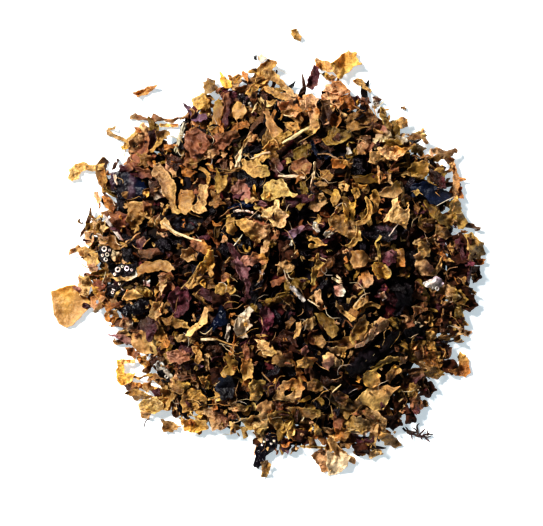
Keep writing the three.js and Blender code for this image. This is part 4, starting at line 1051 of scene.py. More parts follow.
    cut("pinkTan", -5, 28, [7, 1, 8, -6, 3, -11, -1, -12], roll=-0.8),
    cut("white", 45, 32, [4, -1, 5, -6, 7, -10, 3, -11, -1, -6], crumple=2.0, folds=1),
    cut("white", 55, 22, [7, 1, 11, -2, 5, -6, 0, -4], **crumpled),
    cut("gold", 36, 21, [7, -4, 14, -5, 22, -12, 14, -14, 7, -16, 1, -13, 6, -10, 2, -5], hole=0.3, blot="rust"),
    cut("paleOlive", 50, 1, [3, -9, 9, -10, 7, -15, 0, -21, -4, -32, -8, -31, -7, -17, -2, -9, -2, -3], tip="gold"),
    cut("orange", 59, -4, [6, 0, 5, -8, -5, -18, -11, -20, -9, -12], tip="brown"),
    cut("goldBrown", 38, -7, [6, 4, 11, 3, 8, -1]),
    cut("rust", -78, 14, [8, -2, 17, -6, 18, -12, 10, -10, 2, -7], tip="orange"),
    cut("tan", -86, 4, [10, 2, 16, -3, 15, -11, 6, -12, -1, -8], blot="goldBrown"),
    cut("gold", -59, 4, [5, 0, 6, -8, 5, -25, 2, -28, -1, -22, -6, -26, -10, -34, -15, -39, -21, -41, -22, -35, -17,
        -28, -12, -20, -9, -12, -4, -8], tip="yellow", blot="orange", **crumpled),
    thread("paleGold", -87, -36, -69, -12, 1.4, bend=20),
    thread("paleGold", -79, -32, -68, -16, 1.2, bend=-20),
    cut("rust", -47, -22, [5, 4, 11, 1, 16, -4, 7, -5, 1, -6], tip="goldBrown"),
    cut("gold", -53, -36, [3, 7, 8, 8, 12, 4, 20, 3, 22, 0, 16, -5, 7, -5, 2, -3], tip="paleOlive"),
    cut("pinkTan", -47, 11, [2, 7, 5, 8, 8, 4, 4, 0], tip="orange"),
    thread("white", -34, 8, -25, 19, 1.2),
    band("tan", -43, -9, -37, -4, 2.2),
    cut("olive", 0, 7, [2, 6, 8, 8, 9, 2, 4, -1], tip="brown"),
    cut("white", -9, -16, [4, -1, 6, -4, 2, -5]),
    thread("white", -13, -32, -8, -28, 1.3),
    thread("cream", 23, -3, 29, 3, 1),
    thread("cream", -6, 37, 2, 37, 1),
    thread("cream", 20, 32, 24, 24, 1.2),
    cut("white", 21, 8, [2, 6, 4, 5, 3, 0]),
    band("tan", 19, -26, 29, -42, 2.6),
    thread("greyCream", 15, -16, 22, -31, 1),
    thread("tan", 29, -31, 37, -44, 1),
    thread("cream", 39, -46, 51, -52, 1.6, bend=20),
    cut("burgundy", -148, 88, [14, 0, 30, -4, 32, -12, 20, -12, 10, -8], tip="rust"),
    cut("umber", -120, 74, [14, -4, 18, -16, 8, -20, 0, -16], blot="greyCream"),
    cut("orange", -170, 88, [6, -2, 8, -14, 8, -26, 2, -26, -1, -14], tip="gold"),
    cut("pinkTan", -176, 64, [5, -2, 8, -10, 4, -14, 0, -6], tip="paleGold"),
    cut("orange", -168, 59, [10, -2, 18, -10, 12, -17, 4, -11], tip="rust"),
    cut("rust", -160, 42, [10, 2, 20, -4, 18, -14, 8, -18, 2, -10], blot="burgundy", **crumpled),
    cut("goldBrown", -144, 50, [10, 2, 22, -2, 24, -10, 18, -18, 16, -26, 8, -26, 2, -16, 4, -8], tip="gold",
        **crumpled),
    cut("rust", -126, 54, [10, -4, 10, -14, 2, -12]),
    cut("gold", -120, 32, [6, 6, 12, 8, 14, 0, 8, -6, 0, -4], tip="rust", **crumpled),
    cut("tan", -108, 32, [6, 4, 10, 0, 12, -6, 20, -12, 26, -16, 16, -14, 8, -8, 2, -6], tip="cream"),
    cut("tan", -178, 36, [14, -2, 18, -10, 10, -16, 2, -10], tip="paleGold", **crumpled),
    cut("tan", -186, 23, [11, 1, 11, -9, 8, -16, 2, -13], tip="pinkTan"),
    cut("black", -180, 21, [5, 0, 4, -5, 0, -6]),
    cut("black", -166, 22, [6, 0, 4, -5, 0, -4]),
    cut("goldBrown", -162, 13, [4, 6, 8, 5, 13, -5, 15, -9, 8, -9, 2, -5], **smooth),
    cut("tan", -202, -4, [2, 8, 9, 12, 18, 11, 26, 8, 32, 5, 32, -4, 28, -12, 22, -10, 16, -2, 10, 6, 4, 4],
        tip="gold"),
    cut("pinkTan", -182, -11, [8, 3, 12, -3, 8, -9, 2, -7]),
    thread("cream", -188, -10, -169, -17, 1.4, bend=50),
    cut("tan", -162, -18, [10, -2, 24, -4, 31, 4, 32, -4, 26, -9, 10, -9, 0, -5], tip="greyCream", **crumpled),
    cut("black", -147, 6, [12, -1, 13, -10, 7, -15, 1, -12]),
    cut("cream", -156, 4, [7, -2, 8, -8, 2, -12, -2, -7], tip="pinkTan"),
    cut("burgundy", -132, 14, [8, 4, 12, -2, 6, -10, 0, -8], tip="rose"),
    thread("tan", -147, 5, -128, 22, 1.8),
    thread("tan", -124, 7, -118, 16, 1.4),
    cut("brown", -130, 4, [20, 2, 26, -4, 12, -10, 0, -7], tip="rust"),
    cut("goldBrown", -131, -12, [9, 4, 23, 6, 33, 4, 39, -4, 31, -6, 13, -6, 1, -10], tip="tan", **smooth),
    cut("rust", -108, -18, [12, 0, 16, -6, 8, -12, 0, -8], hole=0.3),
    cut("tan", -110, -22, [8, 2, 10, -8, 4, -20, 2, -14]),
    cut("rose", -124, -26, [7, 0, 6, -7, 0, -6], tip="white"),
    cut("gold", -146, -44, [6, 7, 14, 8, 22, 1, 14, -1, 4, -3], tip="paleGold", **smooth),
    cut("olive", -130, -36, [12, 0, 14, -6, 8, -8], tip="yellow"),
    cut("orange", -172, -36, [8, -2, 10, -10, 16, -13, 28, -10, 22, -18, 10, -22, 2, -14], tip="rust", **crumpled),
    cut("yellow", -178, -31, [8, -3, 8, -11, 2, -9]),
    cut("rust", -176, -24, [8, -2, 14, -8, 8, -14, 0, -8]),
    cut("gold", -189, -22, [9, 0, 13, -8, 7, -12, 1, -8], **crumpled),
    cut("orange", -166, -61, [6, 5, 14, 5, 16, -3, 10, -9, 2, -7], hole=0.25, tip="tan"),
    cut("rust", -148, -59, [8, 3, 14, -3, 10, -11, 2, -9], tip="umber"),
    cut("tan", -144, -66, [8, -2, 10, -10, 2, -12], tip="greyCream"),
    cut("rust", -156, -82, [6, 5, 14, 6, 18, 0, 10, -2], tip="tan"),
    cut("tan", -118, -46, [10, -2, 12, -14, 6, -20, -4, -18, 0, -10], tip="gold", **crumpled),
    band("paleGold", -105, -48, -108, -58, 1.8),
    cut("tan", -138, -80, [8, 3, 17, 2, 20, -8, 28, -12, 26, -20, 16, -21, 6, -18, 0, -10], tip="paleGold",
        **smooth),
    cut("orange", -144, -94, [8, 0, 14, -6, 10, -12, 2, -8], tip="rust", **crumpled),
    cut("gold", -118, -82, [8, 6, 10, 10, 16, 2, 21, -4, 18, -12, 10, -14, 2, -8], hole=0.3, tip="orange"),
    cut("goldBrown", -118, -68, [8, 4, 16, -8, 8, -10], tip="tan"),
    cut("rust", -112, -90, [10, -6, 14, -12, 4, -12]),
    cut("goldBrown", -108, -64, [12, 2, 28, -4, 30, -10, 16, -10, 4, -6], tip="gold"),
    cut("tan", -112, -98, [14, -2, 20, -10, 10, -14, 2, -8], tip="olive", **crumpled),
    cut("umber", -119, -102, [11, -2, 9, -10, 1, -8]),
    cut("gold", -134, -102, [12, 0, 16, -10, 10, -14, 4, -8], tip="orange", **crumpled),
    cut("rose", -96, -98, [12, 4, 20, -4, 14, -10, 4, -10], tip="rust", **crumpled),
    cut("rust", -92, -110, [4, 4, 2, -8, -2, -12]),
    cut("burgundy", -84, -110, [12, 2, 20, -2, 12, -8, 2, -6], tip="lilac"),
    cut("tan", -82, -80, [10, 6, 14, -2, 8, -10, 2, -8, -8, -8, -14, -4, -8, 0], tip="brown"),
    cut("paleGold", -62, -53, [4, -1, 2, -9, 2, -15, -6, -21, -16, -29, -22, -28, -16, -21, -6, -13, -2, -5],
        tip="tan", **smooth),
    cut("gold", -76, -92, [6, 0, 10, -6, 12, -14, 6, -18, 2, -16, 4, -8, 1, -4], blot="olive"),
    cut("yellow", -153, -108, [4, 2, 7, -4, 9, -12, 19, -13, 17, -19, 9, -24, 5, -28, 0, -20, -1, -10], tip="amber",
        folds=1),
    cut("paleGold", -150, -106, [16, 0, 16, -4, 2, -5]),
    cut("rust", -146, -132, [10, 3, 18, 2, 16, -6, 4, -6], tip="orange"),
    cut("gold", -126, -130, [8, 2, 10, -6, 4, -10, -2, -6], tip="orange", **crumpled),
    cut("burgundy", -118, -138, [8, 4, 10, -4, 4, -6]),
    cut("goldBrown", -146, -140, [10, 4, 20, 2, 30, -4, 24, -8, 12, -8], tip="gold"),
    cut("paleOlive", -128, -148, [16, 4, 24, -2, 22, -10, 10, -14, -2, -10, -4, -4], tip="paleGold", folds=1),
    cut("gold", -130, -158, [12, -2, 10, -8, 2, -8], tip="tan"),
    thread("umber", -120, -166, -126, -175, 1.2, bend=60),
    cut("gold", -108, -136, [10, 0, 18, -2, 16, -8, 10, -14, 8, -22, 0, -22, 0, -10], tip="goldBrown", **crumpled),
    cut("gold", -88, -142, [10, 8, 20, 6, 28, -2, 26, -12, 16, -14, 10, -18, 2, -18, 0, -8], blot="rust",
        **crumpled),
    cut("goldBrown", -98, -126, [12, 0, 20, -8, 10, -16, 0, -12], tip="olive"),
    cut("gold", -70, -122, [6, 0, 12, -6, 10, -14, 4, -8], tip="olive"),
    cut("brown", -94, -120, [22, 0, 22, -6, 6, -8], tip="rust"),
    cut("tan", -72, -158, [12, 4, 26, 2, 34, -8, 30, -18, 16, -20, 12, -8], tip="rust", **crumpled),
    cut("yellow", -88, -168, [12, 2, 26, 0, 28, -8, 16, -12, 4, -11], tip="gold", folds=1),
    cut("paleOlive", -42, -98, [6, -4, 12, -10, 11, -18, 6, -23, -2, -25, -7, -21, -2, -16, 2, -12, 0, -6],
        tip="olive", **smooth),
    cut("tan", -70, 110, [14, 3, 24, -6, 18, -16, 4, -16], tip="rust", **crumpled),
    cut("goldBrown", -108, -166, [10, -2, 22, -8, 12, -14, 1, -14], tip="tan"),
    cut("orange", -56, -144, [4, -2, 6, -12, 0, -14]),
    thread("tan", -54, -146, -44, -138, 1.4),
    cut("paleGold", -40, -168, [6, 0, 8, -12, 2, -14]),
    cut("rust", -27, -92, [7, 6, 9, -4, 9, -14, 3, -14]),
    cut("gold", -26, -104, [10, 0, 12, -10, 10, -20, 2, -22, -2, -12], tip="orange", folds=1),
    cut("orange", -24, -124, [6, -2, 8, -12, 2, -14, -2, -8]),
    cut("gold", -16, -124, [14, -2, 16, -10, 10, -18, -2, -16, -4, -8], tip="paleOlive", **crumpled),
    thread("tan", -6, -118, 2, -128, 1.6),
    cut("umber", -6, -132, [8, 4, 12, -4, 6, -12]),
    cut("paleGold", -13, -85, [9, 0, 17, -5, 23, -13, 17, -17, 9, -15, 3, -9], tip="gold"),
    cut("goldBrown", 2, -94, [10, -2, 18, -10, 26, -14, 22, -20, 10, -18, 2, -12], tip="tan", folds=2),
    cut("rust", 14, -98, [10, 2, 12, -6, 4, -8]),
    cut("gold", 28, -107, [8, 5, 18, 5, 22, 3, 16, -5, 10, -7, 1, -6], tip="orange", **crumpled),
    cut("rust", 36, -114, [6, 2, 6, -4, 1, -6]),
    cut("goldBrown", 17, -68, [7, 6, 11, 2, 5, -6, 1, -8], tip="brown"),
    cut("gold", 26, -78, [2, 10, 7, 12, 8, 6, 4, -4, -1, -6], tip="tan"),
    cut("tan", 34, -68, [6, 4, 12, 6, 14, -2, 8, -8, 2, -6], tip="paleGold"),
    cut("olive", 46, -59, [8, 1, 18, -5, 24, -15, 22, -23, 17, -25, 12, -19, 4, -9], tip="gold", folds=0,
        crumple=0.35, roll=-1.3),
    cut("goldBrown", 44, -80, [10, 0, 14, -8, 10, -14, 2, -10], tip="tan", **crumpled),
    cut("rose", 33, -94, [5, 5, 8, -2, 4, -8, 0, -6]),
    cut("tan", 58, -92, [10, 0, 22, 0, 18, -6, 12, -10, 6, -6], tip="gold"),
    cut("gold", 74, -98, [4, 0, 2, -6, -2, -4]),
    cut("rose", 54, -102, [6, 5, 12, 2, 12, -6, 6, -13, 0, -10], roll=-1.5, tip="tan"),
    cut("tan", 64, -96, [8, -10, 9, -17, 3, -16], blot="umber"),
    cut("gold", 80, -86, [4, 12, 10, 22, 16, 26, 20, 18, 18, 8, 12, 2, 4, -4], tip="goldBrown", blot="brown",
        folds=1),
    cut("rust", 82, -76, [6, -2, 6, -12, 0, -14]),
    cut("goldBrown", 90, -82, [10, 10, 14, 14, 16, 6, 8, -2, 2, -5], tip="gold"),
    cut("pinkTan", 106, -68, [6, 6, 14, 4, 14, -4, 6, -10, -2, -18, -12, -24, -20, -26, -18, -22, -8, -16, -4, -8],
        tip="tan", roll=-0.9, folds=1),
    cut("umber", 103, -76, [5, 8, 7, 4, 3, -4]),
    cut("olive", 120, -64, [5, 1, 10, -8, 10, -12, 2, -6], tip="darkOlive"),
    cut("olive", 102, -114, [10, 8, 20, 13, 28, 11, 32, 6, 24, 7, 14, 3, 4, -4], tip="paleOlive", folds=0,
        crumple=0.4),
    cut("tan", 132, -104, [8, 2, 6, -6, 0, -8], blot="umber"),
    cut("goldBrown", 118, -120, [6, 7, 14, 6, 18, 1, 10, -2, 4, -10, 0, -8], tip="gold", **crumpled),
    cut("amber", 94, -124, [4, 8, 12, 9, 18, 2, 18, -6, 11, -11, 3, -8], blots=0.2, roll=0.6, folds=0, crumple=0.3,
        hollow=0.03),
    cut("paleGold", 101, -134, [7, 1, 17, 2, 31, 1, 25, -6, 20, -15, 15, -23, 7, -23, -1, -20, -15, -12, -7, -6],
        blots=0.2, roll=-0.7, **smooth),
    cut("tan", 4, -144, [5, 10, 12, 17, 22, 21, 30, 18, 33, 10, 29, 2, 22, -4, 12, -3, 4, -2], hole=0.32,
        tip="orange", blot="gold", folds=1),
    cut("goldBrown", 38, -128, [8, 4, 16, 0, 18, -8, 10, -10, 2, -8], tip="olive", **crumpled),
    cut("brown", 62, -138, [10, 2, 20, -4, 16, -14, 6, -10], tip="goldBrown"),
    thread("cream", 63, -138, 73, -130, 1.4),
    cut("tan", -11, -150, [9, 4, 15, 2, 15, -8, 5, -10, -1, -6], **smooth),
    cut("paleOlive", -28, -166, [12, 4, 24, 8, 30, 4, 28, -8, 18, -14, 6, -10], tip="tan", folds=2),
    cut("gold", -2, -160, [12, 4, 24, 2, 28, -6, 26, -16, 18, -20, 10, -16, 4, -10], tip="olive", folds=2),
    cut("paleGold", 20, -152, [8, -2, 10, -14, 6, -30, 0, -34, -2, -24, 4, -14]),
    cut("umber", 4, -146, [8, -2, 12, -10, 4, -12], tip="rust"),
    cut("rust", -40, -160, [8, 0, 8, -6, 0, -6], tip="mauve"),
    cut("tan", -42, -148, [14, -2, 26, -4, 20, -10, 6, -10], tip="olive"),
    band("paleGold", -40, -155, -28, -155, 2.2),
    cut("paleOlive", -28, -174, [6, 0, 8, -10, 3, -12]),
    cut("goldBrown", 28, -154, [14, 0, 24, -2, 26, -8, 16, -12, 4, -8], blot="umber", tip="paleOlive"),
    cut("gold", 44, -168, [6, -4, 10, -8, 8, -14, 3, -16, 2, -8], tip="paleOlive"),
    thread("cream", 34, -168, 38, -162, 1.2),
    thread("tan", 63, -152, 65, -166, 1.2),
    cut("burgundy", 12, -188, [8, 2, 12, -6, 8, -14, 1, -10], tip="lilac"),
    cut("goldBrown", 40, -184, [6, 0, 10, -10, 2, -12], tip="rust"),
    band("paleOlive", 32, -194, 58, -195, 2.6),
    cut("orange", 66, -174, [10, 0, 18, -6, 12, -14, 2, -16], tip="goldBrown", **crumpled),
    cut("goldBrown", 84, -154, [12, 2, 26, -4, 36, -12, 34, -24, 28, -30, 20, -20, 14, -8, 4, -6], tip="tan",
        folds=1),
    cut("gold", 76, -170, [8, 8, 18, 8, 26, 2, 28, -6, 18, -10, 6, -8], tip="tan", blot="umber", **crumpled),
    cut("cream", 78, -176, [10, -1, 22, -3, 20, -6, 4, -5]),
    cut("gold", 110, -178, [12, -2, 20, -8, 26, -16, 18, -18, 8, -14, 2, -8], tip="goldBrown"),
    cut("burgundy", 84, -180, [12, -4, 24, -2, 22, -10, 8, -12]),
    cut("goldBrown", 94, -186, [12, -2, 10, -10, 0, -10]),
    cut("rust", 144, -52, [8, 5, 16, 3, 16, -4, 8, -8, 2, -12], tip="brown", **crumpled),
    cut("rust", 136, -68, [8, 2, 12, -4, 4, -6]),
    cut("cream", 146, -67, [5, -1, 10, -5, 6, -7, 2, -4]),
    cut("goldBrown", 158, -78, [8, 2, 12, -6, 6, -12, 1, -10], tip="gold"),
    thread("gold", 144, -90, 149, -80, 1.4, bend=-60),
    cut("rust", 146, -98, [8, 4, 16, 0, 14, -8, 4, -8], **crumpled),
    cut("orange", 162, -96, [12, -2, 16, -12, 10, -20, 0, -16, -6, -12], tip="goldBrown", folds=1),
    cut("olive", 156, -118, [10, 2, 24, -4, 16, -7, 4, -6], tip="goldBrown"),
    cut("gold", 158, -86, [10, -2, 12, -12, 2, -10], tip="olive"),
    cut("rust", 174, -48, [10, 2, 14, -6, 10, -16, 2, -12], blot="tan", **crumpled),
    cut("olive", 188, -52, [8, -2, 10, -14, 14, -20, 6, -22, 0, -12], tip="gold"),
    cut("brown", 172, -68, [12, 0, 18, -8, 10, -12, 0, -10], tip="olive"),
    thread("black", 174, -89, 188, -87, 2.2, bend=40),
    cut("goldBrown", 168, -84, [10, 2, 18, 4, 26, 4, 20, 0, 8, -4], tip="brown"),
    cut("burgundy", 136, -130, [10, 10, 20, 13, 22, 8, 12, 0, 2, -6], tip="brown"),
    cut("gold", 140, -138, [8, 4, 6, -4, 1, -6]),
    thread("paleGold", 151, -136, 157, -124, 1.8),
    cut("cream", 150, -134, [4, 2, 3, -3, 0, -3]),
    cut("tan", 172, -30, [10, 0, 18, -6, 22, -14, 16, -19, 7, -13], tip="olive", blot="greyCream", **crumpled),
    cut("goldBrown", 180, -38, [14, 2, 22, -8, 16, -16, 4, -10], tip="olive"),
    cut("rust", 149, -36, [3, 4, 8, 1, 5, -3, 1, -3]),
    cut("umber", 162, 84, [10, -2, 16, -8, 18, -16, 10, -16, 1, -10]),
    cut("olive", 156, 58, [5, -7, 12, -11, 18, -17, 25, -20, 32, -16, 32, -26, 24, -33, 14, -26, 6, -19, 2, -10],
        tip="gold"),
    cut("paleOlive", 182, 52, [8, 6, 13, -1, 15, -12, 6, -18, 0, -10], tip="olive"),
    cut("goldBrown", 168, 30, [12, -4, 18, -12, 10, -16, 0, -10], tip="brown"),
    cut("olive", 142, 86, [4, 7, 14, 8, 20, 5, 20, -4, 15, -10, 10, -13, 3, -8, -2, -2], tip="gold", **smooth),
    cut("tan", 162, 106, [10, 1, 19, -3, 25, -10, 28, -20, 32, -28, 40, -30, 32, -33, 31, -44, 30, -52, 25, -58, 24,
        -42, 25, -28, 20, -16, 14, -8, 4, -5], tip="orange", folds=0),
    cut("gold", 149, 11, [5, 2, 10, 0, 14, -6, 13, -13, 7, -15, 1, -9], **crumpled),
    cut("tan", 146, -1, [6, 3, 12, -5, 18, -10, 20, -15, 14, -21, 6, -20, 0, -11], tip="rust", blot="goldBrown",
        **crumpled),
    cut("tan", 162, -20, [6, 6, 11, 15, 13, 18, 13, 6, 7, -1, 1, -3], tip="gold"),
    cut("gold", 178, -3, [6, -2, 10, -5, 4, -7, 0, -5]),
    cut("goldBrown", 146, 49, [4, 3, 7, -3, 4, -9, 1, -5]),
    cut("gold", 198, 20, [8, 3, 14, -4, 20, -9, 22, -20, 14, -26, 6, -24, 2, -14], tip="olive", **crumpled),
    cut("burgundy", 188, 14, [6, 4, 8, -6, 4, -12, 0, -8]),
    cut("pinkTan", -178, -44, [8, 6, 14, 1, 12, -10, 5, -14, -1, -8], hole=0.25, tip="orange"),
    cut("paleGold", -16, -170, [10, 4, 16, -3, 10, -12, 2, -10], tip="tan"),
    cut("pinkTan", 34, 159, [10, 3, 16, -3, 12, -9, 3, -9], tip="gold"),
    cut("pinkTan", 58, 163, [10, 3, 17, -3, 12, -8, 2, -7], tip="orange"),
    cut("paleOlive", 189, 41, [8, 0, 13, -9, 7, -17, 0, -11], tip="olive"),
    cut("tan", -62, 108, [10, 1, 15, -7, 7, -12, 0, -8], tip="rust"),
    cut("gold", -114, -76, [8, 3, 14, -6, 8, -13, 1, -10], tip="orange"),
    cut("gold", 2, 112, [10, 5, 17, -1, 8, -7, 0, -7], tip="paleOlive", **smooth),
    cut("yellow", 82, 64, [8, 3, 10, -6, 4, -11], tip="gold"),
    cut("gold", -20, -136, [10, 2, 16, -4, 10, -12, 2, -10], tip="paleOlive"),
    cut("gold", -6, 184, [6, 4, 14, -2, 22, -10, 30, -18, 34, -26, 28, -26, 20, -18, 10, -10, 2, -8], tip="tan",
        folds=1),
    cut("tan", 32, 154, [10, 1, 13, -10, 6, -16, -1, -10], tip="orange"),
    cut("goldBrown", 160, -114, [10, 2, 18, -5, 12, -13, 2, -10], tip="olive"),
    cut("goldBrown", 140, -130, [10, 2, 16, -6, 9, -15, 1, -12], tip="gold"),
    cut("rust", 146, -150, [8, 4, 12, -4, 6, -12, -1, -8], tip="brown"),
    cut("olive", 166, 84, [10, 6, 14, -4, 8, -12, 1, -9], tip="gold"),
    cut("burgundy", -150, 90, [10, 1, 16, -5, 8, -10, 0, -7], tip="rust"),
]
goldenRest = {"turning": 2, "lean": 0.22, "steepest": 0.75}
for p in goldenFlakes:
    lay(p, **goldenRest)
print("golden flakes laid")

